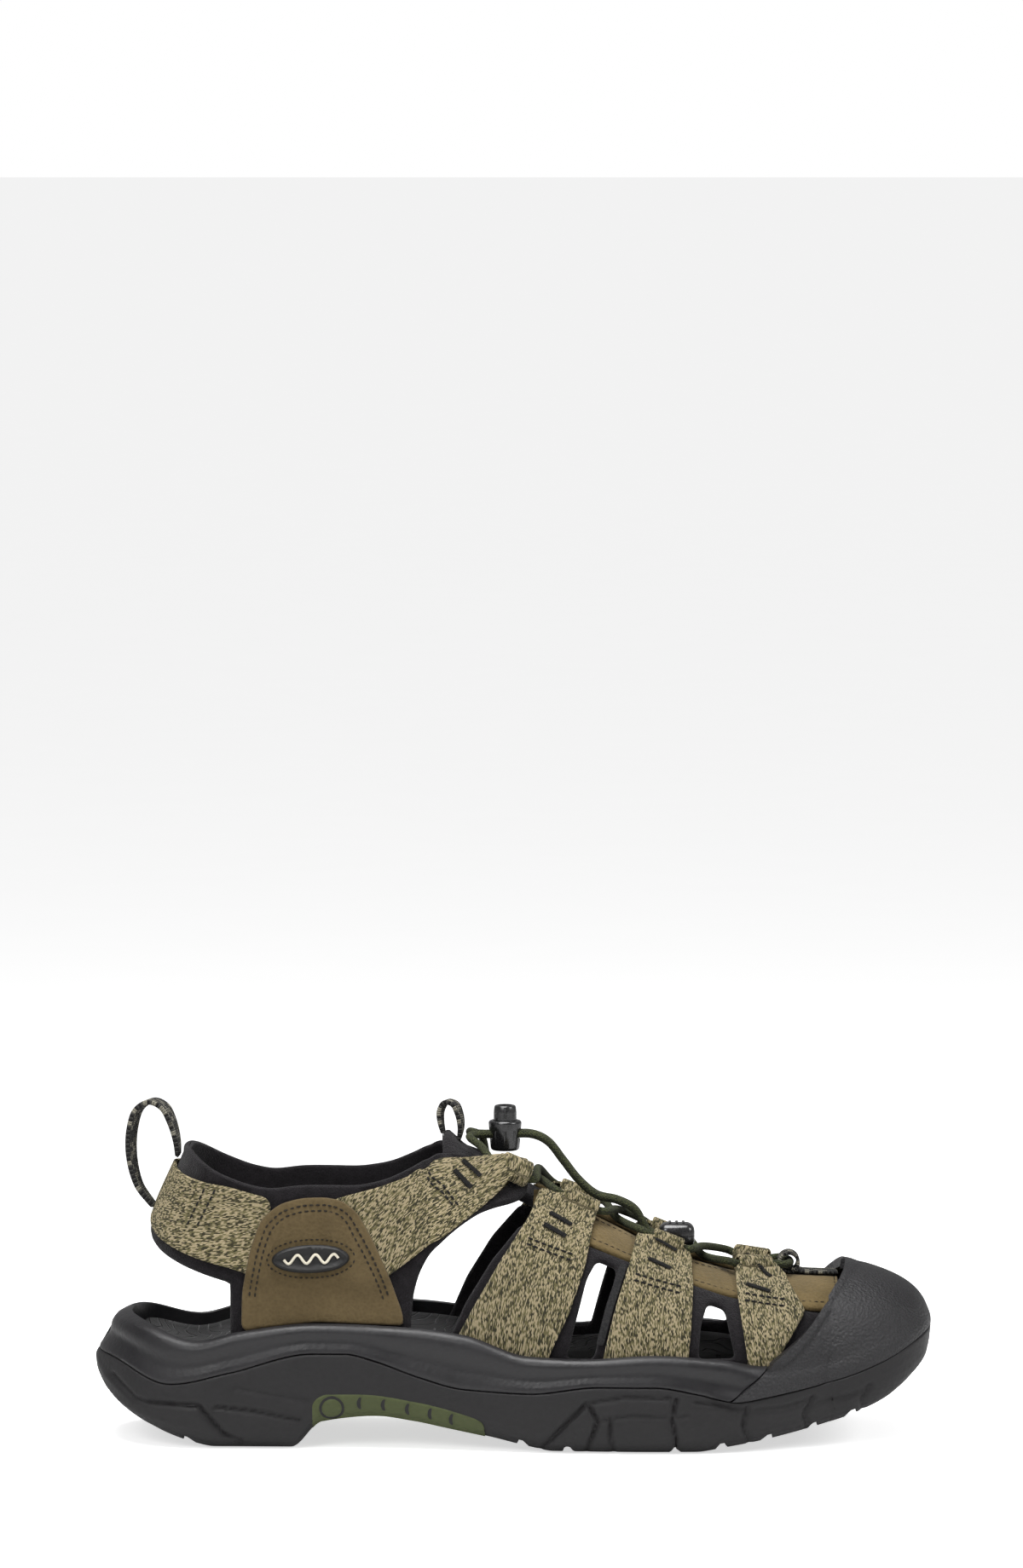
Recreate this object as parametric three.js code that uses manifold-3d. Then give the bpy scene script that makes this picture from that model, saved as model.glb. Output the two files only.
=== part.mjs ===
// A closed-toe strappy sport sandal for the right foot: a rubber outsole with a toe bumper, a foam midsole
// and footbed, an upper of lining, webbing straps and nubuck, and an elastic lace with a cord lock.
//
// Millimetres, +X to the toe, +Y to the inner side of the foot, +Z up. The shape along the foot is given
// at stations, from 0 at the back of the heel to 300 at the tip of the toe.

import * as THREE from 'three';
import { mergeVertices } from 'three/addons/utils/BufferGeometryUtils.js';
import Module from 'manifold-3d';

const wasm = await Module();
wasm.setup();

// ---------------------------------------------------------------- driving dimensions

const LENGTH = 300; // outsole, heel to toe
const WIDTH = 108; // outsole across the ball
const STATIONS = 300; // the length that the curves are drawn for
const PLAN_WIDTH = 108; // and the width
const ORIGIN_STATION = 56; // middle of the heel's flat tread
const GAP = 0.3; // between pieces that lie on each other

const RIM = 8.5; // from the foot to the outside of the midsole
const LINING = 2.2; // thickness of the neoprene and of the throat panel
const WEBBING = 1.6;
const PATCH = 1.4; // nubuck of the side patches, over the straps
const BADGE = 2.0;
const BUMPER = 3.7;
const TONGUE = 2.8;
const TAG = 0.8;
const SKIN = 5; // outsole rubber under the midsole
const SIDE_SKIN = 3; // and beside it
const BOARD = 1.6;

const LACE_RADIUS = 1.4;
const LACE_PLAY = 0.8; // inside a sleeve or an eye
const LACE_RISE = 0.7; // over the corner of a strap, just outside its sleeve
const CORD_SPACING = 3.5; // the two cords side by side in the lock and the clip
const SLEEVE_WALL = 1.2;

const LOCK_STATION = 147.7;
const LOCK_BASE = 101.4; // underside of the barrel
const LOCK_HEIGHT = 10.8;
const LOCK_WALL = 1.6;
const STEM_SIDE = 0.65; // of the button's stem, beside the cords' slot
const LOCK_FLOOR = 0.9;
const LOCK_CORD = 5.8; // cord centre above the underside
const BUTTON_TRAVEL = 1.7;
const BUTTON_HEAD_RADIUS = 4.2;
const BUTTON_HEAD = 3.4;
const BUTTON_FLOOR = 0.7;
const SPRING_WIRE = 0.5;
const SPRING_TURNS = 2;

const CLIP_STATION = 209;
const CLIP_LENGTH = 13;
const CLIP_WIDTH = 10;
const CLIP_HEIGHT = 9;
const CLIP_LIFT = 7.4; // middle of the clip above the last

const PULL_WIDTH = 9; // heel pull loop
const PULL_THICKNESS = 1.8;
const TONGUE_PULL_WIDTH = 6;
const TONGUE_PULL_THICKNESS = 1.6;
const TOE_LOOP_WIDTH = 9;
const EYE_STATION = 249;
const EYE_WALL = 1.6;

const GROOVE_WIDTH = 2.6;
const GROOVE_DEPTH = 3;

// ---------------------------------------------------------------- curves along the foot

// A smooth curve through points, which never swings past them.
function smooth(points) {
  const last = points.length - 1;
  const rise = (i) => (points[i + 1][1] - points[i][1]) / (points[i + 1][0] - points[i][0]);
  const slopes = points.map((point, i) => {
    if (i === 0) return rise(0);
    if (i === last) return rise(last - 1);
    const before = rise(i - 1);
    const after = rise(i);
    return before * after <= 0 ? 0 : (2 * before * after) / (before + after);
  });
  return (x) => {
    if (x <= points[0][0]) return points[0][1];
    if (x >= points[last][0]) return points[last][1];
    const i = points.findIndex((point, k) => k < last && x <= points[k + 1][0]);
    const [x0, y0] = points[i];
    const [x1, y1] = points[i + 1];
    const span = x1 - x0;
    const t = (x - x0) / span;
    const a = (2 * t - 3) * t * t + 1;
    const b = ((t - 2) * t + 1) * t;
    const c = (3 - 2 * t) * t * t;
    const d = (t - 1) * t * t;
    return a * y0 + b * span * slopes[i] + c * y1 + d * span * slopes[i + 1];
  };
}

const soleBottom = smooth([
  [0, 28], [5, 19], [12, 12], [23, 6], [38, 1.2], [45, 0], [72, 0], [83, 9.4], [102, 11.4], [115, 9.8],
  [128, 7.3], [142, 4.6], [156, 1.5], [165, 0], [215, 0], [225, 1.5], [244, 4.7], [263, 9], [274, 12.8],
  [285, 17.7], [293, 24], [298, 30], [300, 37],
]);
const soleRim = smooth([
  [0, 45], [12, 45], [38, 38], [54, 41.5], [80, 44.6], [114, 43.3], [133, 41], [156, 34], [175, 33.4],
  [200, 34.8], [225, 33], [240, 30.5], [258, 31.5], [285, 40], [300, 46],
]);
const partingLine = smooth([
  [0, 31], [7, 30], [28, 22.6], [50, 27], [80, 34], [91, 34], [102, 31.4], [117, 26], [133, 22], [156, 21],
  [181, 23.7], [200, 23.7], [217, 21], [229, 18.6], [240, 20], [262, 24], [280, 30], [300, 40],
]);
const boardLevel = smooth([
  [12, 27], [50, 26], [80, 27], [114, 25], [150, 20], [200, 17], [240, 17], [262, 19], [275, 21.5], [285, 25.5],
  [293, 31],
]);
const outerHalfWidth = smooth([
  [50, 41], [80, 42], [110, 43], [140, 47], [170, 52], [200, 54], [225, 53], [262, 41],
]);
const innerHalfWidth = smooth([
  [50, 40], [80, 38], [110, 35], [140, 37], [170, 44], [200, 52], [225, 54], [262, 46],
]);
const throatShape = smooth([
  [120, 22], [141, 15], [154, 13.5], [180, 12.5], [202, 11.5], [225, 10], [238, 7.5], [246, 0],
]);
const THROAT_END = 246;

// The last: the foot-shaped form that the upper is built on.
const ridge = smooth([
  [100, 125], [112, 119], [127, 108.5], [134, 104], [141, 99.5], [147, 95.8], [154, 91.5], [163, 86.5],
  [170, 82.8], [180, 77.8], [202, 66.3], [220, 59.8], [234, 56.4], [250, 55], [262, 54.5],
]);
const widestLevel = smooth([[50, 42], [120, 40], [160, 34], [220, 30], [262, 28]]);
const heelBack = smooth([[20, 19], [45, 19], [60, 20.5], [79, 25.7], [98, 34], [125, 46]]);
const collarShape = smooth([[50, 24], [95, 24], [112, 14], [122, 0]]);
const closedOver = smooth([[90, 0], [124, 1]]);
const HEEL_STATION = 50;
const TOE_STATION = 262;
const TOE_REACH = 29.5;
const SECTION_FULLNESS = 2.3;
const HEEL_FULLNESS = 2.2;
const TOE_FULLNESS = 2.2;

const acrossScale = WIDTH / PLAN_WIDTH;
const alongScale = LENGTH / STATIONS;
const along = (station) => station * alongScale;
const throatHalfWidth = (station) => throatShape(station) * acrossScale;
const collarHalfWidth = (station) => collarShape(station) * acrossScale;

function lastHalfWidth(side, station) {
  const sole = side < 0 ? outerHalfWidth(station) : innerHalfWidth(station);
  return sole * acrossScale - RIM;
}

// Half width and height on the section at a station: v runs from -1 at the board to 1 at the ridge.
function section(side, station, v) {
  const half = lastHalfWidth(side, station);
  const base = widestLevel(station);
  if (v < 0) return [half, base + v * (base - boardLevel(station))];
  const angle = (v * Math.PI) / 2;
  const lift = Math.sin(angle) ** (2 / SECTION_FULLNESS);
  const arched = half * Math.abs(Math.cos(angle)) ** (2 / SECTION_FULLNESS);
  const leaning = half + (collarHalfWidth(station) - half) * lift;
  const cover = closedOver(station);
  return [leaning * (1 - cover) + arched * cover, base + (ridge(station) - base) * lift];
}

// A point of the last: u runs from 0 at the toe tip by the side, 1 to 2, to 3 at the back of the heel.
function lastPoint(side, u, v) {
  if (u <= 1) {
    const [half, z] = section(side, TOE_STATION, v);
    const fan = (u * Math.PI) / 2;
    const reach = TOE_REACH * (half / lastHalfWidth(side, TOE_STATION));
    const x = along(TOE_STATION + reach * Math.abs(Math.cos(fan)) ** (2 / TOE_FULLNESS));
    return new THREE.Vector3(x, side * half * Math.sin(fan) ** (2 / TOE_FULLNESS), z);
  }
  if (u <= 2) {
    const station = TOE_STATION + (HEEL_STATION - TOE_STATION) * (u - 1);
    const [half, z] = section(side, station, v);
    return new THREE.Vector3(along(station), side * half, z);
  }
  const [half, z] = section(side, HEEL_STATION, v);
  const fan = ((u - 2) * Math.PI) / 2;
  const depth = HEEL_STATION - heelBack(z);
  const x = along(HEEL_STATION - depth * Math.sin(fan) ** (2 / HEEL_FULLNESS));
  return new THREE.Vector3(x, side * half * Math.abs(Math.cos(fan)) ** (2 / HEEL_FULLNESS), z);
}

// The same point moved out of the last by a distance, square to its surface.
function skinPoint(side, u, v, out) {
  const step = 0.004;
  const at = lastPoint(side, u, v);
  const du = lastPoint(side, Math.min(3, u + step), v).sub(lastPoint(side, Math.max(0, u - step), v));
  const upper = lastPoint(side, u, Math.min(1, v + step));
  const dv = upper.sub(lastPoint(side, u, Math.max(-1, v - step)));
  const normal = new THREE.Vector3().crossVectors(du, dv).multiplyScalar(side);
  const onPole = u < 1 && v > 1 - step / 2;
  if (onPole || normal.lengthSq() < 1e-12) normal.set(0, 0, 1);
  if (v < 0) normal.z = 0;
  if (Math.abs(at.y) < 1e-4) normal.y = 0;
  return at.addScaledVector(normal.normalize(), out);
}

// The point of the upper at a station and a distance from the middle, moved out by a distance.
function onUpper(side, station, away, out) {
  const u = 1 + (TOE_STATION - station) / (TOE_STATION - HEEL_STATION);
  let low = 0;
  let high = 1;
  for (let i = 0; i < 40; i += 1) {
    const middle = (low + high) / 2;
    if (section(side, station, middle)[0] > away) low = middle;
    else high = middle;
  }
  return skinPoint(side, u, low, out);
}

// ---------------------------------------------------------------- solids

function toSolid(geometry) {
  const bare = geometry.clone();
  bare.deleteAttribute('normal');
  bare.deleteAttribute('uv');
  const merged = mergeVertices(bare, 1e-4);
  const index = merged.index.array;
  const triangles = [];
  for (let i = 0; i < index.length; i += 3) {
    const [a, b, c] = [index[i], index[i + 1], index[i + 2]];
    if (a !== b && b !== c && c !== a) triangles.push(a, b, c);
  }
  const vertProperties = new Float32Array(merged.attributes.position.array);
  const mesh = new wasm.Mesh({ numProp: 3, vertProperties, triVerts: new Uint32Array(triangles) });
  return new wasm.Manifold(mesh);
}

function toGeometry(solid) {
  const { vertProperties, triVerts } = solid.getMesh();
  const geometry = new THREE.BufferGeometry();
  geometry.setAttribute('position', new THREE.BufferAttribute(new Float32Array(vertProperties), 3));
  geometry.setIndex(new THREE.BufferAttribute(new Uint32Array(triVerts), 1));
  return geometry;
}

const ROUND_THE_SIDE = [
  ...Array.from({ length: 5 }, (_, i) => i / 5),
  ...Array.from({ length: 14 }, (_, i) => 1 + i / 14),
  ...Array.from({ length: 5 }, (_, i) => 2 + i / 5),
  3,
];

// A closed body from columns that run round both sides: columnAt gives the points of one column, from
// the bottom to the top, and the two sides are joined across the bottom and across the top.
function bodyOfColumns(columnAt) {
  const positions = [];
  const quad = (a, b, c, d) => positions.push(...a, ...b, ...c, ...a, ...c, ...d);
  const columns = [-1, 1].map((side) => ROUND_THE_SIDE.map((u) => columnAt(side, u).map((p) => p.toArray())));
  const [outer, inner] = columns;
  const top = outer[0].length - 1;
  for (let i = 0; i < ROUND_THE_SIDE.length - 1; i += 1) {
    for (let k = 0; k < top; k += 1) {
      quad(outer[i][k], outer[i][k + 1], outer[i + 1][k + 1], outer[i + 1][k]);
      quad(inner[i][k], inner[i + 1][k], inner[i + 1][k + 1], inner[i][k + 1]);
    }
    quad(outer[i][top], inner[i][top], inner[i + 1][top], outer[i + 1][top]);
    quad(outer[i][0], outer[i + 1][0], inner[i + 1][0], inner[i][0]);
  }
  const geometry = new THREE.BufferGeometry();
  geometry.setAttribute('position', new THREE.Float32BufferAttribute(positions, 3));
  return toSolid(geometry);
}

const lastRows = [-1, ...Array.from({ length: 7 }, (_, i) => i / 6)];
const lastBodies = new Map();

function lastBody(out) {
  if (!lastBodies.has(out)) {
    lastBodies.set(out, bodyOfColumns((side, u) => lastRows.map((v) => skinPoint(side, u, v, out))));
  }
  return lastBodies.get(out);
}

const layer = (from, to) => lastBody(to).subtract(lastBody(from));

// The sole's outside: each row is a distance out from the last's foot line and a height.
function soleBody(inset, raise, top) {
  return bodyOfColumns((side, u) => {
    const end = u < 1 ? Math.cos((u * Math.PI) / 2) ** 2 : Math.sin((Math.max(0, u - 2) * Math.PI) / 2) ** 2;
    const heel = u > 2 ? end : 0;
    const point = (out, flare, above) => {
      const place = skinPoint(side, u, 0, out + flare * heel - inset);
      place.z = above(place.x / alongScale);
      return place;
    };
    const under = (station) => Math.min(soleBottom(station) + raise, top(station) - 2);
    const height = (station) => top(station) - under(station);
    const lower = (rise, share) => (station) => under(station) + Math.min(rise, share * height(station)) * (1 - end);
    const upper = (drop, share) => (station) => top(station) - Math.min(drop, share * height(station));
    return [
      point(RIM - 7, 5.5, lower(0, 0)),
      point(RIM - 2.5, 8, lower(2.5, 0.15)),
      point(RIM - 0.6, 10.5, lower(8, 0.35)),
      point(RIM, 7, upper(99, 0.5)),
      point(RIM, 3, upper(3.2, 0.3)),
      point(RIM - 1.4, 0, upper(0.8, 0.1)),
      point(RIM - 3.4, 0, top),
    ];
  });
}

// A prism through the side view of the shoe: points are [station, height].
function sidePrism(points, from = -90, to = 90) {
  const shape = new THREE.Shape(points.map(([station, z]) => new THREE.Vector2(along(station), z)));
  const geometry = new THREE.ExtrudeGeometry(shape, { depth: to - from, bevelEnabled: false });
  geometry.rotateX(Math.PI / 2);
  geometry.translate(0, to, 0);
  return toSolid(geometry);
}

const oneSide = (side, points) => sidePrism(points, side < 0 ? -90 : 0.5, side < 0 ? -0.5 : 90);

// A prism through the plan: points are [station, distance across].
function planPrism(points, from = -20, to = 140) {
  const shape = new THREE.Shape(points.map(([station, y]) => new THREE.Vector2(along(station), y)));
  const geometry = new THREE.ExtrudeGeometry(shape, { depth: to - from, bevelEnabled: false });
  geometry.translate(0, 0, from);
  return toSolid(geometry);
}

// The side view's region between two lines along the foot.
function regionBetween(low, high, start = -20, end = 310, steps = 30) {
  const stations = Array.from({ length: steps + 1 }, (_, i) => start + ((end - start) * i) / steps);
  const under = stations.map((station) => [station, low(station)]);
  const over = stations.map((station) => [station, high(station)]).reverse();
  return sidePrism([...under, ...over]);
}

// What is cut away over the tongue: the throat, widened by a distance, to a least half width and an end.
function throatCut(extra = 0, least = 0.4, end = THROAT_END) {
  const stations = Array.from({ length: 15 }, (_, i) => 110 + ((end - 110) * i) / 14);
  const half = (station) => Math.max(least, throatHalfWidth(station)) + extra;
  const outer = stations.map((station) => [station, -half(station)]);
  const inner = stations.map((station) => [station, half(station)]).reverse();
  return planPrism([...outer, ...inner]);
}

// The outline moved outwards by a distance, for the clearance round it.
function grown(points, distance) {
  const middle = new THREE.Vector2();
  const corners = points.map(([station, z]) => new THREE.Vector2(station, z));
  const turn = Math.sign(THREE.ShapeUtils.area(corners));
  return corners.map((corner, i) => {
    const before = corners[(i + corners.length - 1) % corners.length];
    const after = corners[(i + 1) % corners.length];
    const into = corner.clone().sub(before).normalize();
    const from = after.clone().sub(corner).normalize();
    middle.set(into.y + from.y, -into.x - from.x).normalize().multiplyScalar(distance * turn);
    return [corner.x + middle.x, corner.y + middle.y];
  });
}

function tube(path, radius, steps, sides = 8) {
  const shape = new THREE.Shape();
  shape.absarc(0, 0, radius, 0, 2 * Math.PI);
  const ring = new THREE.Shape(shape.getSpacedPoints(sides).slice(0, sides));
  return new THREE.ExtrudeGeometry(ring, { steps, extrudePath: path, bevelEnabled: false });
}

function cylinder(radius, bottom, top, x, y, sides = 24, topRadius = radius) {
  const geometry = new THREE.CylinderGeometry(topRadius, radius, top - bottom, sides);
  geometry.rotateX(Math.PI / 2);
  geometry.translate(x, y, (top + bottom) / 2);
  return toSolid(geometry);
}

function box(low, high) {
  const geometry = new THREE.BoxGeometry(high[0] - low[0], high[1] - low[1], high[2] - low[2]);
  geometry.translate((low[0] + high[0]) / 2, (low[1] + high[1]) / 2, (low[2] + high[2]) / 2);
  return toSolid(geometry);
}

// ---------------------------------------------------------------- outlines in the side view

const below = () => -20;
const overFloor = regionBetween(boardLevel, () => 140);
const overBoard = regionBetween((station) => boardLevel(station) + BOARD + 2 * GAP, () => 140);
const overRim = regionBetween((station) => soleRim(station) + GAP, () => 140);

const COLLAR = [
  [0, 99], [30, 101.5], [37, 103], [46.7, 96.5], [56, 92.8], [64.7, 91], [75, 92.5], [86, 92.5], [96, 92.3],
  [107, 94.5], [120, 100.5], [141, 112], [156, 104], [154.5, 89], [148, 83.5], [116, 59], [114.5, 44], [114.5, 15],
  [50.5, 15], [50.5, 58], [21, 75], [0, 76],
];
const SIDE_LINING = [
  [125, 15], [127, 36], [134, 52], [143, 66.5], [153, 78], [176, 70], [203, 59], [226, 51.5], [249, 47],
  [264, 45], [264, 15],
];
const WINDOWS = [
  [[169.5, 33], [176.5, 60], [180, 65.5], [187, 62.5], [179, 33]],
  [[215.7, 33], [216.7, 44], [219, 50.5], [225, 48.5], [228.6, 33]],
];
const THROAT_PANEL = [
  [156.5, 77.4], [176, 70.5], [203, 59.5], [226, 52], [249, 47.5], [266, 45.5], [266, 70], [200, 95],
  [157.5, 104],
];
const TONGUE_SIDE = [[120, 92], [150, 77], [200, 55], [262, 44], [262, 120], [120, 120]];
const HEEL_STRAP = [[0, 97.5], [30, 98], [49, 92], [65, 87.5], [65, 58], [54, 62], [21.7, 79], [0, 80]];
const ANKLE_STRAP = [
  [86, 70], [86, 87], [90, 88.2], [112, 94], [143, 112], [158, 97], [150, 91.3], [107.7, 61.3], [98, 56], [86, 62],
];
const MIDFOOT_STRAP = [
  [126, 15], [131.5, 40.3], [138.3, 52.8], [146.8, 67], [155.7, 80], [164, 100], [182, 90], [178.5, 79],
  [175.5, 62.6], [170.6, 48.8], [164, 34.6], [160, 15],
];
const INSTEP_STRAP = [
  [179, 15], [183, 35.3], [186.5, 50], [191, 64], [197, 84], [211, 76], [213.5, 55], [213, 42], [212.3, 35.3],
  [212, 15],
];
const TOE_STRAP = [
  [234, 15], [232.3, 33.4], [229.5, 50], [227, 72], [244, 70], [247, 55], [253.3, 45.8], [244, 34], [241, 15],
];
const SIDE_PATCH = [
  [53.7, 30], [53.7, 41.5], [54, 57], [57, 72], [60.5, 82], [67, 87.6], [75, 89.7], [84, 90], [90, 88.6],
  [94.7, 85], [99.4, 76], [106, 62.4], [111, 47.7], [111.4, 30],
];
const SIDE_TAG = [[180, 38], [182.7, 37.6], [186, 50], [190.2, 62.6], [187.6, 63.4], [183.2, 50.6]];
const TOE_LINE = [[240, 30.5], [254, 42], [263, 53], [269, 61], [272, 70]];
const ARCH_INSERT = [
  [80, 15.5], [81.5, 18.5], [85, 19.8], [96, 19.8], [117, 17], [133, 13], [141, 9], [140, 2], [79, 2],
];
const BADGE_CENTRE = [78.4, 68.2];
const BADGE_LENGTH = 27.8;
const BADGE_HEIGHT = 9.9;

// ---------------------------------------------------------------- the sole

const WEB_OUT = LINING + GAP + WEBBING;
const CAVITY = WEB_OUT + 0.4;
const BUMPER_IN = WEB_OUT + GAP;

const wholeSole = soleBody(0, 0, soleRim);
const bumperZone = sidePrism([[239, 10], ...TOE_LINE, [320, 70], [320, 10]]);
const bumperZoneWide = sidePrism(grown([[239, 10], ...TOE_LINE, [320, 70], [320, 10]], GAP));
const coreTop = (station) => Math.min(soleRim(Math.min(station, 240)) - 4, partingLine(station) + 2);

const cavity = (clear) => lastBody(CAVITY + clear).intersect(overFloor);
const core = (grow) => soleBody(SIDE_SKIN - grow, SKIN - grow, (station) => coreTop(station) + grow)
  .intersect(planPrism([[4, -90], [283.2 + grow, -90], [283.2 + grow, 90], [4, 90]]));
const insertZone = sidePrism(ARCH_INSERT);
const insertZoneWide = sidePrism(grown(ARCH_INSERT, GAP));

function treadGrooves() {
  const cut = (station, slant) => {
    const width = GROOVE_WIDTH / 2;
    const bottom = soleBottom(station);
    return sidePrism([
      [station - width, bottom - 20], [station - width + slant, bottom + GROOVE_DEPTH],
      [station + width + slant, bottom + GROOVE_DEPTH], [station + width, bottom - 20],
    ]);
  };
  const heel = [24, 36].map((station) => cut(station, -1));
  const ball = [154, 170, 208, 224, 240, 256, 270].map((station) => cut(station, 1.5));
  return [...heel, ...ball];
}

function outsole() {
  let body = wholeSole.intersect(regionBetween(below, (station) => partingLine(station) - GAP / 2));
  body = body.subtract(core(GAP)).subtract(cavity(GAP)).subtract(insertZoneWide);
  treadGrooves().forEach((groove) => {
    body = body.subtract(groove);
  });
  return body;
}

function midsole() {
  const walls = wholeSole.intersect(regionBetween((station) => partingLine(station) + GAP / 2, () => 140));
  return walls.subtract(bumperZoneWide).add(core(0)).subtract(cavity(0));
}

function toeBumper() {
  const outside = lastBody(BUMPER_IN + BUMPER).add(wholeSole);
  const kept = regionBetween((station) => partingLine(station) + GAP / 2, () => 140);
  return outside.intersect(bumperZone).intersect(kept).subtract(lastBody(BUMPER_IN)).subtract(core(GAP));
}

const archInsert = () => wholeSole.intersect(insertZone).subtract(core(GAP));

const insoleBoard = () => lastBody(WEB_OUT)
  .intersect(regionBetween((station) => boardLevel(station) + GAP, (station) => boardLevel(station) + GAP + BOARD));

const footbedBottom = (station) => boardLevel(station) + BOARD + 2 * GAP;
const footbedTop = (station) => {
  const dished = Math.min(soleRim(Math.min(station, 240)) - 3.5, 41);
  return Math.max(dished, footbedBottom(station) + 4);
};
const footbed = () => lastBody(-GAP).intersect(regionBetween(footbedBottom, footbedTop));

// ---------------------------------------------------------------- the upper

const base = layer(0, LINING);
const webbingLayer = layer(LINING + GAP, WEB_OUT);
const inLayer = (body, prism) => body.intersect(prism).intersect(overBoard);

const collarLining = () => inLayer(base, sidePrism(COLLAR)).subtract(throatCut());

function sideLining(side) {
  const [rearWindow, frontWindow] = WINDOWS.map((outline) => oneSide(side, outline));
  const whole = inLayer(base, oneSide(side, SIDE_LINING)).subtract(throatCut());
  return whole.subtract(rearWindow).subtract(frontWindow);
}

const throatPanel = () => inLayer(base, sidePrism(THROAT_PANEL)).subtract(throatCut());
const heelStrap = () => webbingLayer.intersect(sidePrism(HEEL_STRAP));

function tongue() {
  const stations = Array.from({ length: 15 }, (_, i) => 126 + (132 * i) / 14);
  const half = (station) => Math.max(9, throatHalfWidth(station) + 5);
  const outer = stations.map((station) => [station, -half(station)]);
  const inner = stations.map((station) => [station, half(station)]).reverse();
  return layer(-GAP - TONGUE, -GAP).intersect(planPrism([...outer, ...inner])).intersect(sidePrism(TONGUE_SIDE));
}

// Where the lace runs in the folded end of each strap: from its rear station to its front one.
const SLEEVES = {
  ankle: [143.5, 153],
  midfoot: [165.5, 178],
  instep: [197.5, 208.5],
  toe: [229, 241.5],
};
const SLEEVE_INSIDE = LACE_RADIUS + LACE_PLAY;
const SLEEVE_RADIUS = SLEEVE_INSIDE + SLEEVE_WALL;
const SLEEVE_OUT = LINING + GAP + SLEEVE_RADIUS + 0.1;
const SLEEVE_AWAY = 3.2; // from the throat's edge

function sleevePoint(side, station) {
  return onUpper(side, station, throatHalfWidth(station) + SLEEVE_AWAY, SLEEVE_OUT);
}

function sleeve(side, [rear, front], radius, over) {
  const start = sleevePoint(side, rear);
  const end = sleevePoint(side, front);
  const ahead = end.clone().sub(start).normalize().multiplyScalar(over);
  const path = new THREE.LineCurve3(start.clone().sub(ahead), end.clone().add(ahead));
  return toSolid(tube(path, radius, 1, 12));
}

function lacedStrap(side, outline, span) {
  const body = inLayer(webbingLayer, oneSide(side, outline)).subtract(throatCut(SLEEVE_AWAY - 1, 6, 262));
  return body.add(sleeve(side, span, SLEEVE_RADIUS, 0)).subtract(sleeve(side, span, SLEEVE_INSIDE, 30));
}

function sidePatch(side) {
  const outside = WEB_OUT + GAP + PATCH;
  const under = layer(LINING, WEB_OUT + GAP);
  const straps = [HEEL_STRAP, ANKLE_STRAP].map((outline) => oneSide(side, grown(outline, GAP)).intersect(under));
  const whole = layer(LINING + GAP, outside).intersect(oneSide(side, SIDE_PATCH)).intersect(overRim);
  return whole.subtract(straps[0]).subtract(straps[1]);
}

function badge(side) {
  const steps = 24;
  const outline = Array.from({ length: steps }, (_, i) => {
    const turn = (2 * Math.PI * i) / steps;
    const ahead = Math.sign(Math.cos(turn)) * Math.abs(Math.cos(turn)) ** 0.9 * (BADGE_LENGTH / 2);
    const up = Math.sin(turn) * (BADGE_HEIGHT / 2);
    return [BADGE_CENTRE[0] + ahead, BADGE_CENTRE[1] + up + ahead * 0.03];
  });
  const inside = WEB_OUT + 2 * GAP + PATCH;
  return layer(inside, inside + BADGE).intersect(oneSide(side, outline));
}

const sideTag = () => layer(LINING + GAP, LINING + GAP + TAG).intersect(oneSide(-1, SIDE_TAG));

// ---------------------------------------------------------------- loops

// A webbing loop in the plane of the side view: a band of a thickness along a path.
function band(points, thickness, width) {
  const line = new THREE.CatmullRomCurve3(points.map(([station, z]) => new THREE.Vector3(along(station), 0, z)));
  const steps = 20;
  const edge = (offset) => Array.from({ length: steps + 1 }, (_, i) => {
    const place = line.getPointAt(i / steps);
    const ahead = line.getTangentAt(i / steps);
    return new THREE.Vector2(place.x - ahead.z * offset, place.z + ahead.x * offset);
  });
  const outline = [...edge(-thickness / 2), ...edge(thickness / 2).reverse()];
  const geometry = new THREE.ExtrudeGeometry(new THREE.Shape(outline), { depth: width, bevelEnabled: false });
  geometry.rotateX(Math.PI / 2);
  geometry.translate(0, width / 2, 0);
  return toSolid(geometry);
}

const HEEL_PULL = [
  [29.5, 104.5], [29, 111], [26, 117.2], [21.5, 119.4], [17, 116.5], [14.6, 109], [14.4, 99], [16.5, 88.5],
];
const TONGUE_PULL = [
  [124.6, 113.2], [124.6, 116.6], [126.7, 119], [129.7, 118.2], [131.3, 114.6], [131.8, 109.8],
];

const heelLoop = () => band(HEEL_PULL, PULL_THICKNESS, PULL_WIDTH);
const tongueLoop = () => band(TONGUE_PULL, TONGUE_PULL_THICKNESS, TONGUE_PULL_WIDTH);

const eyeRadius = SLEEVE_INSIDE + EYE_WALL;
const eyeHeight = ridge(EYE_STATION) + LINING + GAP + eyeRadius;

function toeLoop() {
  const half = TOE_LOOP_WIDTH / 2;
  const across = (radius, reach) => {
    const centre = (y) => new THREE.Vector3(along(EYE_STATION), y, eyeHeight);
    return toSolid(tube(new THREE.LineCurve3(centre(-reach), centre(reach)), radius, 1, 14));
  };
  const strip = layer(LINING + GAP, LINING + GAP + WEBBING - 0.2)
    .intersect(planPrism([[EYE_STATION, -half], [268, -half], [268, half], [EYE_STATION, half]], 50));
  return strip.add(across(eyeRadius, half)).subtract(across(SLEEVE_INSIDE, 20));
}

// ---------------------------------------------------------------- lace, lock and clip

const lockX = along(LOCK_STATION);
const cordZ = LOCK_BASE + LOCK_CORD;
const clipX = along(CLIP_STATION);
const clipZ = ridge(CLIP_STATION) + CLIP_LIFT;

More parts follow.
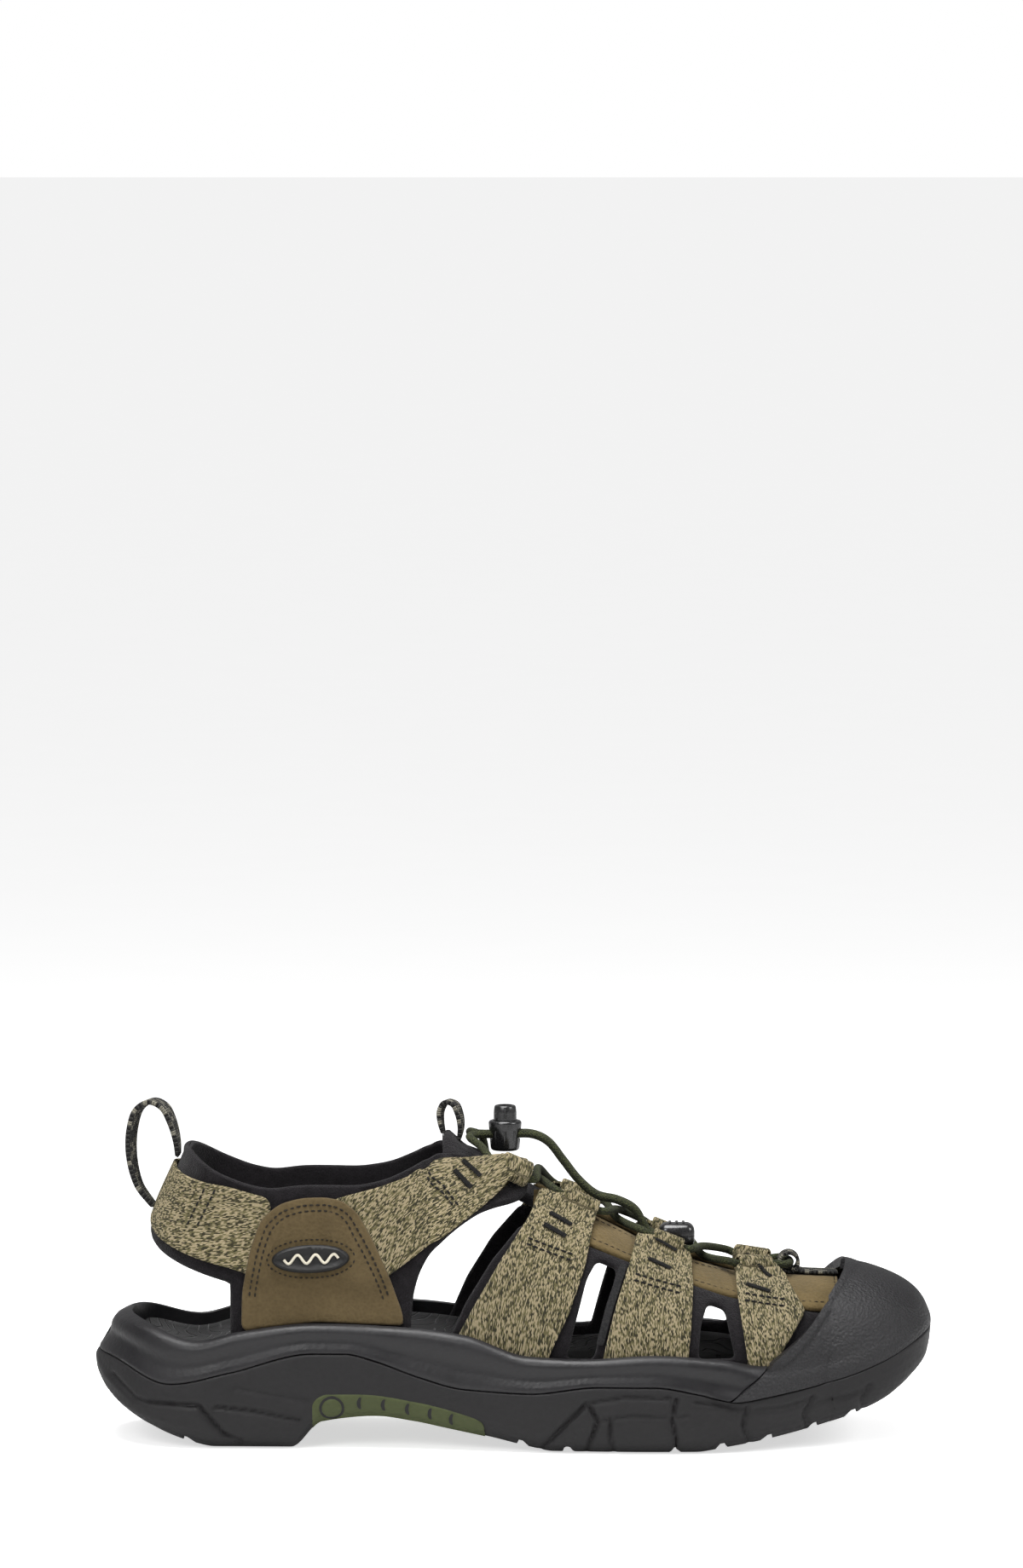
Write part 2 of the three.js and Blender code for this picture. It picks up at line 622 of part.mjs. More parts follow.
// One half of the lace, from the toe eye to the clip, starting on a side.
function laceHalf(side) {
  const at = (station, y, z) => new THREE.Vector3(along(station), y, z);
  const cross = (station, over) => at(station, 0, ridge(station) + (over ? 6.6 : 3.3));
  const through = (hand, name) => {
    const [rear, front] = SLEEVES[name];
    const start = sleevePoint(hand, front);
    const end = sleevePoint(hand, rear);
    const ahead = start.clone().sub(end).normalize().multiplyScalar(2.8);
    const before = start.clone().add(ahead);
    const after = end.clone().sub(ahead);
    before.z += LACE_RISE;
    after.z += LACE_RISE;
    return [before, start, start.clone().lerp(end, 0.5), end, after];
  };
  const beside = (side * CORD_SPACING) / 2;
  return [
    at(EYE_STATION, side * 0.01, eyeHeight),
    at(EYE_STATION, side * 5, eyeHeight),
    at(EYE_STATION - 2.6, side * 9.4, eyeHeight + 0.2),
    ...through(side, 'toe'),
    cross(218.5, side > 0),
    ...through(-side, 'instep'),
    cross(188, side < 0),
    ...through(side, 'midfoot'),
    cross(159.5, side > 0),
    ...through(-side, 'ankle'),
    at(139.2, -side * 15.2, cordZ - 2.6),
    at(135.6, -side * 10.5, cordZ - 0.4),
    at(135.4, -side * 5, cordZ),
    at(138.6, -beside, cordZ),
    at(LOCK_STATION, -beside, cordZ),
    at(157.5, -beside, cordZ),
    at(163, -beside, cordZ - 2.6),
    at(168.5, -beside, cordZ - 9.4),
    at(174, -beside, cordZ - 16.4),
    at(180.5, -beside, cordZ - 21.8),
    at(188, -beside, ridge(188) + 10),
    at(194, -beside, ridge(194) + 10),
    at(199, -beside, clipZ + 1.4),
    at(CLIP_STATION - 5.6, -beside, clipZ),
    at(CLIP_STATION, -beside, clipZ),
  ];
}

function lace() {
  const first = laceHalf(-1);
  const second = laceHalf(1);
  const route = new THREE.CatmullRomCurve3([...first.slice(1).reverse(), ...second.slice(1)], false, 'centripetal');
  route.arcLengthDivisions = 1600;
  return toSolid(tube(route, LACE_RADIUS, 120));
}

const cordHole = LACE_RADIUS + 0.3;
const barrelTop = LOCK_BASE + LOCK_HEIGHT;
const slotHalfWidth = CORD_SPACING / 2 + cordHole;
const stemRadius = slotHalfWidth + STEM_SIDE;
const lockRadius = stemRadius + GAP + LOCK_WALL;

function lockBarrel() {
  const outside = cylinder(lockRadius, LOCK_BASE, barrelTop, lockX, 0, 28, lockRadius * 0.92);
  const bore = cylinder(stemRadius + GAP, LOCK_BASE + LOCK_FLOOR, barrelTop + 1, lockX, 0, 28);
  const hole = box([lockX - 9, -slotHalfWidth, cordZ - cordHole], [lockX + 9, slotHalfWidth, cordZ + cordHole]);
  return outside.subtract(bore).subtract(hole);
}

function lockButton() {
  const bottom = cordZ - cordHole - BUTTON_FLOOR;
  const neck = barrelTop + BUTTON_TRAVEL + GAP;
  const stem = cylinder(stemRadius, bottom, neck + 0.5, lockX, 0, 28);
  const head = cylinder(BUTTON_HEAD_RADIUS, neck, neck + BUTTON_HEAD, lockX, 0, 28, BUTTON_HEAD_RADIUS * 0.9);
  const slotLow = [lockX - 9, -slotHalfWidth + 0.1, cordZ - cordHole];
  const slotHigh = [lockX + 9, slotHalfWidth - 0.1, cordZ + cordHole + BUTTON_TRAVEL];
  return stem.add(head).subtract(box(slotLow, slotHigh));
}

function lockSpring() {
  const low = LOCK_BASE + LOCK_FLOOR + SPRING_WIRE / 2 + 0.1;
  const high = cordZ - cordHole - BUTTON_FLOOR - SPRING_WIRE / 2 - 0.1;
  const points = Array.from({ length: 10 * SPRING_TURNS + 1 }, (_, i) => {
    const turn = (2 * Math.PI * i) / 10;
    const radius = stemRadius - 1;
    const z = low + ((high - low) * i) / (10 * SPRING_TURNS);
    return new THREE.Vector3(lockX + radius * Math.cos(turn), radius * Math.sin(turn), z);
  });
  return toSolid(tube(new THREE.CatmullRomCurve3(points), SPRING_WIRE / 2, 12 * SPRING_TURNS, 6));
}

function clipHalf(low, high) {
  const steps = 20;
  const outline = Array.from({ length: steps }, (_, i) => {
    const turn = (2 * Math.PI * i) / steps;
    const round = (value) => Math.sign(value) * Math.abs(value) ** 0.45;
    return new THREE.Vector2(round(Math.cos(turn)) * CLIP_LENGTH / 2, round(Math.sin(turn)) * CLIP_WIDTH / 2);
  });
  const block = new THREE.ExtrudeGeometry(new THREE.Shape(outline), { depth: high - low, bevelEnabled: false });
  block.translate(clipX, 0, low);
  let body = toSolid(block);
  [-1, 1].forEach((side) => {
    const start = new THREE.Vector3(clipX - 12, (side * CORD_SPACING) / 2, clipZ);
    const end = new THREE.Vector3(clipX + 1, (side * CORD_SPACING) / 2, clipZ);
    body = body.subtract(toSolid(tube(new THREE.LineCurve3(start, end), cordHole, 1, 12)));
  });
  const mouth = box([clipX - 12, -slotHalfWidth, clipZ - cordHole], [clipX - 4.6, slotHalfWidth, clipZ + cordHole]);
  return body.subtract(mouth);
}

const clipBase = () => clipHalf(clipZ - CLIP_HEIGHT / 2, clipZ - GAP / 2);
const clipCap = () => clipHalf(clipZ + GAP / 2, clipZ + CLIP_HEIGHT / 2);

// ---------------------------------------------------------------- materials and assembly

const finish = (color, roughness) => new THREE.MeshStandardMaterial({ color, roughness, metalness: 0 });
const rubber = finish(0x3a383a, 0.75);
const foam = finish(0x3c3b3d, 0.6);
const green = finish(0x4a5032, 0.6);
const neoprene = finish(0x231e22, 0.9);
const webbing = finish(0x8f8663, 0.95);
const nubuck = finish(0x564832, 0.95);
const cordage = finish(0x343822, 0.8);
const gloss = finish(0x101112, 0.25);
const dark = finish(0x1c1c1e, 0.7);
const steel = finish(0xa8a8a8, 0.35);

const sandal = new THREE.Group();
sandal.position.x = -along(ORIGIN_STATION);

function put(name, solid, material) {
  const mesh = new THREE.Mesh(toGeometry(solid), material.clone());
  mesh.name = name;
  sandal.add(mesh);
}

put('outsole', outsole(), rubber);
put('toe_bumper', toeBumper(), rubber);
put('arch_insert', archInsert(), green);
put('midsole', midsole(), foam);
put('insole_board', insoleBoard(), dark);
put('footbed', footbed(), dark);
put('collar_lining', collarLining(), neoprene);
put('throat_panel', throatPanel(), nubuck);
put('tongue', tongue(), neoprene);
put('heel_strap', heelStrap(), webbing);
[['outer', -1], ['inner', 1]].forEach(([hand, side]) => {
  put(`side_lining_${hand}`, sideLining(side), neoprene);
  put(`ankle_strap_${hand}`, lacedStrap(side, ANKLE_STRAP, SLEEVES.ankle), webbing);
  put(`midfoot_strap_${hand}`, lacedStrap(side, MIDFOOT_STRAP, SLEEVES.midfoot), webbing);
  put(`instep_strap_${hand}`, lacedStrap(side, INSTEP_STRAP, SLEEVES.instep), webbing);
  put(`toe_strap_${hand}`, lacedStrap(side, TOE_STRAP, SLEEVES.toe), webbing);
  put(`side_patch_${hand}`, sidePatch(side), nubuck);
  put(`badge_${hand}`, badge(side), dark);
});
put('side_tag', sideTag(), dark);
put('toe_loop', toeLoop(), webbing);
put('heel_loop', heelLoop(), webbing);
put('tongue_loop', tongueLoop(), webbing);
put('lace', lace(), cordage);
put('lock_barrel', lockBarrel(), gloss);
put('lock_button', lockButton(), gloss);
put('lock_spring', lockSpring(), steel);
put('cord_clip_base', clipBase(), gloss);
put('cord_clip_cap', clipCap(), gloss);

export default sandal;
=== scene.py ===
"""The looks of a closed-toe strappy sport sandal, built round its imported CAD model.

Shapes are worked out in millimetres at stations along the foot, from 0 at the back of the heel to 300 at the
toe, on the same last as the CAD model, and become metres in the row frame when a mesh is made.
"""

import math

import bpy
import numpy as np
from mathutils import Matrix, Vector
from mathutils.geometry import delaunay_2d_cdt


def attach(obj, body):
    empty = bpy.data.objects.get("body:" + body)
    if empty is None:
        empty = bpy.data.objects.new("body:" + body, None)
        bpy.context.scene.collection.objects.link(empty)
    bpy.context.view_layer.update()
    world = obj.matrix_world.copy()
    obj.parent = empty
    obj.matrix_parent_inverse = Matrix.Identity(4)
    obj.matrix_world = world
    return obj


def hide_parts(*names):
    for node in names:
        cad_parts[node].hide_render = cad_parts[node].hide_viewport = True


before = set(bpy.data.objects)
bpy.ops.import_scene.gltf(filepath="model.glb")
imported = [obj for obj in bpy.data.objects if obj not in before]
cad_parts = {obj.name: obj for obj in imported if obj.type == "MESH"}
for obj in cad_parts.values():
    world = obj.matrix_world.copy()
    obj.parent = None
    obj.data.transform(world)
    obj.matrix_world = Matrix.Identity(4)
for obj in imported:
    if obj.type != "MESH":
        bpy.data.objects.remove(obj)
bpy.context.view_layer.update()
bpy.ops.object.select_all(action="DESELECT")

# ------------------------------------------------------------------ sizes, in millimetres

ORIGIN_STATION = 56
RIM = 8.5
GAP = 0.3
LINING = 2.2
WEBBING = 1.6
WEB_OUT = LINING + GAP + WEBBING
PATCH = 1.4
PATCH_OUT = WEB_OUT + GAP + PATCH
BUMPER_IN = WEB_OUT + GAP
BUMPER_OUT = BUMPER_IN + 3.7
TONGUE = 2.8
LACE_RADIUS = 1.4
LACE_PLAY = 0.8
LACE_RISE = 0.7
SLEEVE_WALL = 1.2
SLEEVE_RADIUS = LACE_RADIUS + LACE_PLAY + SLEEVE_WALL
SLEEVE_OUT = LINING + GAP + SLEEVE_RADIUS + 0.1
SLEEVE_AWAY = 3.2
CORD_SPACING = 3.5
LOCK_STATION = 147.7
LOCK_BASE = 101.4
CORD_Z = LOCK_BASE + 5.8
CLIP_STATION = 209
EYE_STATION = 249
EYE_RADIUS = 3.8
HEEL_STATION = 50
TOE_STATION = 262
TOE_REACH = 29.5
SECTION_FULLNESS = 2.3
END_FULLNESS = 2.2
HEEL_ARC = 45
ANKLE_AHEAD = 112
MIDSOLE_END = 238.6
BUMPER_START = 239.4
JOINT_STATION = 240
JOINT_REACH = 19
JOINT_HEIGHT = 10.5
JOINT_SLANT = 15
CLIP_RISE = 7.4
SLOPE_STEP = 0.004
UNDER_SHARE = 0.86
LINING_CLEAR = -0.6
STRAP_CLEAR = 1.4
STITCHES_LOW = 52.6


# ------------------------------------------------------------------ the last


def smooth(*points):
    """A smooth curve through points, which never swings past them."""
    xs, ys = np.array(points, float).T
    rise = np.diff(ys) / np.diff(xs)
    slopes = np.empty_like(xs)
    slopes[0], slopes[-1] = rise[0], rise[-1]
    before, after = rise[:-1], rise[1:]
    total = np.where(before + after == 0, 1, before + after)
    slopes[1:-1] = np.where(before * after <= 0, 0, 2 * before * after / total)

    def curve(x):
        x = np.clip(np.asarray(x, float), xs[0], xs[-1])
        i = np.clip(np.searchsorted(xs, x, side="left") - 1, 0, len(xs) - 2)
        span = xs[i + 1] - xs[i]
        t = (x - xs[i]) / span
        start = (2 * t - 3) * t * t + 1
        leave = ((t - 2) * t + 1) * t
        arrive = (t - 1) * t * t
        ends = start * ys[i] + leave * span * slopes[i] + (1 - start) * ys[i + 1]
        return ends + arrive * span * slopes[i + 1]

    return curve


sole_bottom = smooth(
    (0, 28), (5, 19), (12, 12), (23, 6), (38, 1.2), (45, 0), (72, 0), (83, 9.4), (102, 11.4), (115, 9.8),
    (128, 7.3), (142, 4.6), (156, 1.5), (165, 0), (215, 0), (225, 1.5), (244, 4.7), (263, 9), (274, 12.8),
    (285, 17.7), (293, 24), (298, 30), (300, 37),
)
sole_rim = smooth(
    (0, 45), (12, 45), (38, 38), (54, 41.5), (80, 44.6), (114, 43.3), (133, 41), (156, 34), (175, 33.4),
    (200, 34.8), (225, 33), (240, 30.5), (258, 31.5), (285, 40), (300, 46),
)
parting_line = smooth(
    (0, 31), (7, 30), (28, 22.6), (50, 27), (80, 34), (91, 34), (102, 31.4), (117, 26), (133, 22), (156, 21),
    (181, 23.7), (200, 23.7), (217, 21), (229, 18.6), (240, 20), (262, 24), (280, 30), (300, 40),
)
board_level = smooth(
    (12, 27), (50, 26), (80, 27), (114, 25), (150, 20), (200, 17), (240, 17), (262, 19), (275, 21.5),
    (285, 25.5), (293, 31),
)
outer_half_width = smooth(
    (50, 41), (80, 42), (110, 43), (140, 47), (170, 52), (200, 54), (225, 53), (262, 41)
)
inner_half_width = smooth(
    (50, 40), (80, 38), (110, 35), (140, 37), (170, 44), (200, 52), (225, 54), (262, 46)
)
throat_half_width = smooth(
    (120, 22), (141, 15), (154, 13.5), (180, 12.5), (202, 11.5), (225, 10), (238, 7.5), (246, 0)
)
ridge = smooth(
    (100, 125), (112, 119), (127, 108.5), (134, 104), (141, 99.5), (147, 95.8), (154, 91.5), (163, 86.5),
    (170, 82.8), (180, 77.8), (202, 66.3), (220, 59.8), (234, 56.4), (250, 55), (262, 54.5),
)
widest_level = smooth((50, 42), (120, 40), (160, 34), (220, 30), (262, 28))
heel_back = smooth((20, 19), (45, 19), (60, 20.5), (79, 25.7), (98, 34), (125, 46))
collar_half_width = smooth((50, 24), (95, 24), (112, 14), (122, 0))
closed_over = smooth((90, 0), (124, 1))


def last_half_width(side, station):
    return np.where(side < 0, outer_half_width(station), inner_half_width(station)) - RIM


def section_half(side, station, z):
    """Half width of the last at a station and a height."""
    half = last_half_width(side, station)
    base = widest_level(station)
    lift = np.clip((z - base) / (ridge(station) - base), 0, 1)
    arched = half * (1 - lift**SECTION_FULLNESS) ** (1 / SECTION_FULLNESS)
    leaning = half + (collar_half_width(station) - half) * lift
    cover = closed_over(station)
    return np.where(z < base, half, leaning * (1 - cover) + arched * cover)


def arch_length(side, station):
    """About how far it is over the last from its widest level to the ridge."""
    return ridge(station) - widest_level(station) + 0.72 * last_half_width(side, station)


def rise_of(side, station, z):
    """The distance up over the last's surface that goes with a height."""
    station = np.clip(station, HEEL_STATION, TOE_STATION)
    base = widest_level(station)
    lift = np.clip((z - base) / (ridge(station) - base), 0, 1)
    angle = np.arcsin(lift ** (SECTION_FULLNESS / 2))
    return np.where(z < base, z, base + arch_length(side, station) * angle * 2 / math.pi)


def height_of(side, station, rise):
    base = widest_level(station)
    angle = np.clip((rise - base) / arch_length(side, station), 0, 1) * math.pi / 2
    lift = np.sin(angle) ** (2 / SECTION_FULLNESS)
    return np.where(rise < base, rise, base + (ridge(station) - base) * lift)


def last_point(bearing, rise):
    """A point of the last: the bearing is 0 behind the heel, 3 at the toe, and negative on the outer side."""
    side = np.where(bearing < 0, -1.0, 1.0)
    away = np.abs(bearing)
    station = HEEL_STATION + (TOE_STATION - HEEL_STATION) * np.clip(away - 1, 0, 1)
    z = height_of(side, station, rise)
    half = section_half(side, station, z)
    heel_fan = np.clip(1 - away, 0, 1) * math.pi / 2
    toe_fan = np.clip(3 - away, 0, 1) * math.pi / 2
    power = 2 / END_FULLNESS
    toe = away > 2
    reach = TOE_REACH * half / last_half_width(side, TOE_STATION)
    back = (HEEL_STATION - heel_back(z)) * np.sin(heel_fan) ** power
    x = station - back + np.where(toe, reach * np.abs(np.cos(toe_fan)) ** power, 0)
    y = side * half * np.abs(np.cos(heel_fan)) ** power * np.where(toe, np.sin(toe_fan) ** power, 1)
    return np.stack([x, y, z + 0 * x], -1)


def unit(vectors):
    return vectors / np.maximum(np.linalg.norm(vectors, axis=-1, keepdims=True), 1e-9)


def round_of(girth):
    """The last's bearing at a distance from the back of the heel along its side."""
    away = np.abs(girth)
    ahead = ahead_of_heel(away - HEEL_ARC + HEEL_STATION)
    return np.sign(girth) * np.where(away < HEEL_ARC, away / HEEL_ARC, ahead)


def girth_of(side, station, z):
    """The distance round from the back of the heel, for a station and a height on a side."""
    ratio = np.clip((HEEL_STATION - station) / (HEEL_STATION - heel_back(z)), 0, 1)
    fan = np.arcsin(ratio ** (END_FULLNESS / 2))
    near = HEEL_ARC * (1 - fan / (math.pi / 2))
    return side * np.where(station < HEEL_STATION, near, HEEL_ARC + station - HEEL_STATION)


def skin(bearing, rise, out):
    """A point of the last moved out square to its surface."""
    bearing, rise = np.broadcast_arrays(np.asarray(bearing, float), np.asarray(rise, float))
    along = last_point(bearing + SLOPE_STEP, rise) - last_point(bearing - SLOPE_STEP, rise)
    up = last_point(bearing, rise + 0.2) - last_point(bearing, rise - 0.2)
    normal = np.cross(up, along)
    side = np.where(bearing < 0, -1.0, 1.0)
    facing = normal[..., 1] * side + normal[..., 2] * 0.2
    facing = np.where(np.abs(bearing) < 0.5, -normal[..., 0], facing)
    facing = np.where(np.abs(bearing) > 2.5, normal[..., 0] + normal[..., 2], facing)
    normal = unit(normal) * np.where(facing < 0, -1.0, 1.0)[..., None]
    return last_point(bearing, rise) + normal * np.asarray(out, float)[..., None]


def wrap(girth, rise, out):
    return skin(round_of(girth), rise, out)


def throat_height(side, station, extra):
    """The height at which the last is as wide as the throat and an extra on each side."""
    wanted = throat_half_width(station) + extra
    low = widest_level(station)
    high = ridge(station)
    for _ in range(30):
        middle = (low + high) / 2
        wider = section_half(side, station, middle) > wanted
        low = np.where(wider, middle, low)
        high = np.where(wider, high, middle)
    return low


def crown(station, y, out):
    """A point over the foot, at a distance across from the middle, moved out square to the surface."""
    station, y = np.broadcast_arrays(np.asarray(station, float), np.asarray(y, float))

    def top(s, across):
        base = widest_level(s)
        beyond = np.maximum(0, s - TOE_STATION) / TOE_REACH
        beside = np.abs(across) / last_half_width(across, s)
        share = (beyond**END_FULLNESS + beside**END_FULLNESS) ** (1 / END_FULLNESS)
        share = np.clip(share, 0, 1)
        height = base + (ridge(s) - base) * (1 - share**SECTION_FULLNESS) ** (1 / SECTION_FULLNESS)
        return np.stack([s + 0 * across, across + 0 * s, height], -1)

    along = top(station + 0.3, y) - top(station - 0.3, y)
    across = top(station, y + 0.05) - top(station, y - 0.05)
    return top(station, y) + unit(np.cross(along, across)) * np.asarray(out, float)[..., None]


def sleeve_point(side, station):
    return crown(station, side * (throat_half_width(station) + SLEEVE_AWAY), SLEEVE_OUT)


# ------------------------------------------------------------------ meshes


def metres(points):
    return (np.asarray(points, float) - [ORIGIN_STATION, 0, 0]) / 1000


def make_piece(name, points, faces, material, stands_for=(), slot=None, uv=None, body="root", angle=50):
    """A mesh piece in place: points in millimetres, faces as index lists, uv one pair for each point."""
    mesh = bpy.data.meshes.new(name)
    mesh.from_pydata(metres(points).tolist(), [], [list(map(int, face)) for face in faces])
    if uv is not None:
        layer = mesh.uv_layers.new(name="UVMap")
        corners = np.empty(len(mesh.loops), dtype=np.int32)
        mesh.loops.foreach_get("vertex_index", corners)
        layer.data.foreach_set("uv", np.asarray(uv, float)[corners].astype(np.float32).ravel())
    mesh.materials.append(material)
    piece = bpy.data.objects.new(name, mesh)
    bpy.context.scene.collection.objects.link(piece)
    weld(piece)
    shade(piece, angle)
    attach(piece, body)
    if stands_for:
        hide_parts(*stands_for)
    return piece


def active(piece):
    bpy.ops.object.select_all(action="DESELECT")
    piece.select_set(True)
    bpy.context.view_layer.objects.active = piece


def weld(piece):
    active(piece)
    bpy.ops.object.mode_set(mode="EDIT")
    bpy.ops.mesh.select_all(action="SELECT")
    bpy.ops.mesh.remove_doubles(threshold=2e-6)
    bpy.ops.mesh.normals_make_consistent(inside=False)
    bpy.ops.object.mode_set(mode="OBJECT")


def shade(piece, angle):
    active(piece)
    bpy.ops.object.shade_smooth_by_angle(angle=math.radians(angle))
    piece.select_set(False)


def grid_faces(rows, columns, start=0, flip=False, closed=False):
    """Quads of a grid of points; closed joins the last column to the first."""
    i, k = np.meshgrid(np.arange(rows - 1), np.arange(columns if closed else columns - 1), indexing="ij")
    after = (k + 1) % columns
    row, next_row = i * columns, (i + 1) * columns
    quads = np.stack([row + k, row + after, next_row + after, next_row + k], -1)
    quads = quads.reshape(-1, 4) + start
    return quads[:, ::-1] if flip else quads


def capped_faces(count, size):
    """Faces of a row of closed loops, with one face over each end."""
    faces = [list(face) for face in grid_faces(count, size, closed=True)]
    return [*faces, list(range(size)), list(range((count - 1) * size, count * size))[::-1]]


def rounded(distance, radius):
    """Half a sheet's thickness near its edge, as a share: 0 at the edge and 1 from the radius inwards."""
    inside = 1 - np.clip(distance / radius, 0, 1)
    return np.sqrt(np.maximum(0, 1 - inside**2))


def sheet_piece(name, middle, half, material, edge, **facts):
    """A sheet of a half thickness round a grid of middle points, with rounded sides and ends."""
    rows, columns = middle.shape[:2]
    along = np.gradient(middle, axis=0)
    across = np.gradient(middle, axis=1)
    normal = unit(np.cross(along, across))
    run = np.cumsum(np.linalg.norm(np.diff(middle, axis=0, prepend=middle[:1]), axis=-1), axis=0)
    reach = np.cumsum(np.linalg.norm(np.diff(middle, axis=1, prepend=middle[:, :1]), axis=-1), axis=1)
    width = reach[:, -1:]
    share = rounded(np.minimum(reach, width - reach), edge) * rounded(np.minimum(run, run[-1:] - run), edge)
    outer = middle + normal * (half * share)[..., None]
    inner = middle - normal * (half * share)[..., None]
    centre = run[:, columns // 2 : columns // 2 + 1]
    uv = np.stack([centre + 0 * reach, reach - width / 2], -1).reshape(-1, 2)
    points = np.concatenate([outer.reshape(-1, 3), inner.reshape(-1, 3)])
    faces = [*grid_faces(rows, columns), *grid_faces(rows, columns, rows * columns, flip=True)]
    return make_piece(name, points, faces, material, uv=np.concatenate([uv, uv]), **facts)


def edge_steps(count, width, edge):
    """Positions across a strip from 0 to 1, close together at its two edges."""
    fine = np.array([0, 0.12, 0.35, 0.7, 1.1]) * edge / width
    middle = np.linspace(fine[-1], 1 - fine[-1], count)[1:-1]
    return np.concatenate([fine, middle, 1 - fine[::-1]])


def run_along(points):
    """The distance along a line at each of its points."""
    return np.concatenate([[0], np.cumsum(np.linalg.norm(np.diff(points, axis=0), axis=1))])


def at_marks(points, run, marks):
    """Where distances along a line fall."""
    return np.stack([np.interp(marks, run, column) for column in points.T], -1)


def even(points, count):
    """A line with evenly spaced points."""
    run = run_along(points)
    return at_marks(points, run, np.linspace(0, run[-1], count))


def resample(points, count):
    """Points evenly spaced along a smooth line through the given ones."""
    points = np.asarray(points, float)
    run = run_along(points)
    axes = [smooth(*zip(run, column))(np.linspace(0, run[-1], count)) for column in points.T]
    return np.stack(axes, -1)


def outline_points(corners, spacing, radius):
    """A closed outline through corners, each rounded off, with evenly spaced points."""
    corners = np.asarray(corners, float)
    path = []
    for i, corner in enumerate(corners):
        before = corners[i - 1] - corner
        after = corners[(i + 1) % len(corners)] - corner
        cut = min(radius, np.linalg.norm(before) * 0.45, np.linalg.norm(after) * 0.45)
        start = corner + unit(before) * cut
        end = corner + unit(after) * cut
        for t in np.linspace(0, 1, 6):
            path.append((1 - t) ** 2 * start + 2 * t * (1 - t) * corner + t * t * end)
    path.append(path[0])
    path = np.array(path)
    run = run_along(path)
    count = max(8, int(run[-1] / spacing))
    return at_marks(path, run, np.linspace(0, run[-1], count, endpoint=False))


def thinned(loop, least=0.3):
    """A closed outline without the points that lie on the one before."""
    return loop[np.linalg.norm(loop - np.roll(loop, 1, axis=0), axis=1) > least]


def line_distance(points, start, end):
    """Distance from points to a straight line between two others."""
    span = end - start
    t = np.clip((points - start) @ span / max(span @ span, 1e-12), 0, 1)
    return np.linalg.norm(points - start - t[:, None] * span, axis=1)


def edge_distance(points, loops):
    """Distance from flat points to the nearest edge of closed outlines."""
    best = np.full(len(points), np.inf)
    for loop in loops:
        for a, b in zip(loop, np.roll(loop, -1, axis=0)):
            best = np.minimum(best, line_distance(points, a, b))
    return best


def inside(points, loops):
    """Whether flat points lie within outlines, less the ones inside them."""
    within = np.zeros(len(points), bool)
    x, y = points.T
    for loop in loops:
        for (x0, y0), (x1, y1) in zip(loop, np.roll(loop, -1, axis=0)):
            crosses = (y0 > y) != (y1 > y)
            slope = (x1 - x0) * (y - y0) / (y1 - y0 if y1 != y0 else 1e-9) + x0
            within ^= crosses & (x < slope)
    return within


def flat_mesh(loops, spacing, edge):
    """Triangles that fill outlines, less the ones inside them, with rings of points along each edge."""
    low = np.min(loops[0], axis=0)
    high = np.max(loops[0], axis=0)
    columns = np.arange(low[0], high[0], spacing)
    rows = np.arange(low[1], high[1], spacing * 0.87)
    x, y = np.meshgrid(columns, rows)
    x = x + (np.arange(len(rows)) % 2)[:, None] * spacing / 2
    filling = np.stack([x.ravel(), y.ravel()], -1)
    filling = filling[inside(filling, loops)]
    filling = filling[edge_distance(filling, loops) > edge + spacing * 0.6]
    rings = []
    for loop in loops:
        tangent = unit(np.roll(loop, -1, axis=0) - np.roll(loop, 1, axis=0))
        normal = np.stack([-tangent[:, 1], tangent[:, 0]], -1)
        for share in (0.15, 0.5, 1.0):
            for sign in (-1, 1):
                ring = loop + normal * edge * share * sign
                ring = ring[inside(ring, loops)]
                rings.append(ring[edge_distance(ring, loops) > edge * share * 0.8])
    points = np.concatenate([*loops, *rings, filling])
    edges = []
    start = 0
    for loop in loops:
        count = len(loop)
        edges += [(start + i, start + (i + 1) % count) for i in range(count)]
        start += count
    found = delaunay_2d_cdt([Vector(p) for p in points], edges, [], 0, 1e-5)
    flat = np.array([[v.x, v.y] for v in found[0]])
    faces = np.array([face for face in found[2] if len(face) == 3])
    return flat, faces[inside(flat[faces].mean(axis=1), loops)]


def shell_piece(
    name, loops, low, high, place, material, edge, spacing=2.4, relief=None, drape=False, turn=None, **facts
):
    """A piece of a thickness over an outline: place puts flat points at a distance out from the last.

    Relief raises its outside, and its underside too if it drapes. Turn gives two flat points that the
    weave runs between.
    """
    flat, faces = flat_mesh(loops, spacing, edge)
    distance = edge_distance(flat, loops)
    share = rounded(distance, edge)
    middle = (low + high) / 2
    half = (high - low) / 2
    extra = 0 if relief is None else relief(flat, distance)
    outer = place(flat, middle + half * share + extra)
    inner = place(flat, middle - half * share + (extra if drape else 0))
    points = np.concatenate([outer, inner])
    both = [*faces, *(faces[:, ::-1] + len(flat))]
    uv = flat if turn is None else lengthwise(flat, *turn)
    return make_piece(name, points, both, material, uv=np.concatenate([uv, uv]), **facts)


def lengthwise(flat, start, end):
    """Flat coordinates turned so that the first runs along a strap."""
    direction = unit(np.array(end, float) - start)
    along = (flat - start) @ direction
    across = (flat - start) @ [-direction[1], direction[0]]
    return np.stack([along, across], -1)


def on_upper(flat, out):
    """Places flat points, given as girth and rise, on the upper."""
    return wrap(flat[:, 0], flat[:, 1], out)


def on_crown(flat, out):
    """Places flat points, given as station and distance across, over the foot."""
    return crown(flat[:, 0], flat[:, 1], out)


def to_upper(side, path):
    """Stations and heights on a side as girths and rises."""
    path = np.asarray(path, float)
    girth = girth_of(side, path[:, 0], path[:, 1])
    return np.stack([girth, rise_of(side, path[:, 0], path[:, 1])], -1)


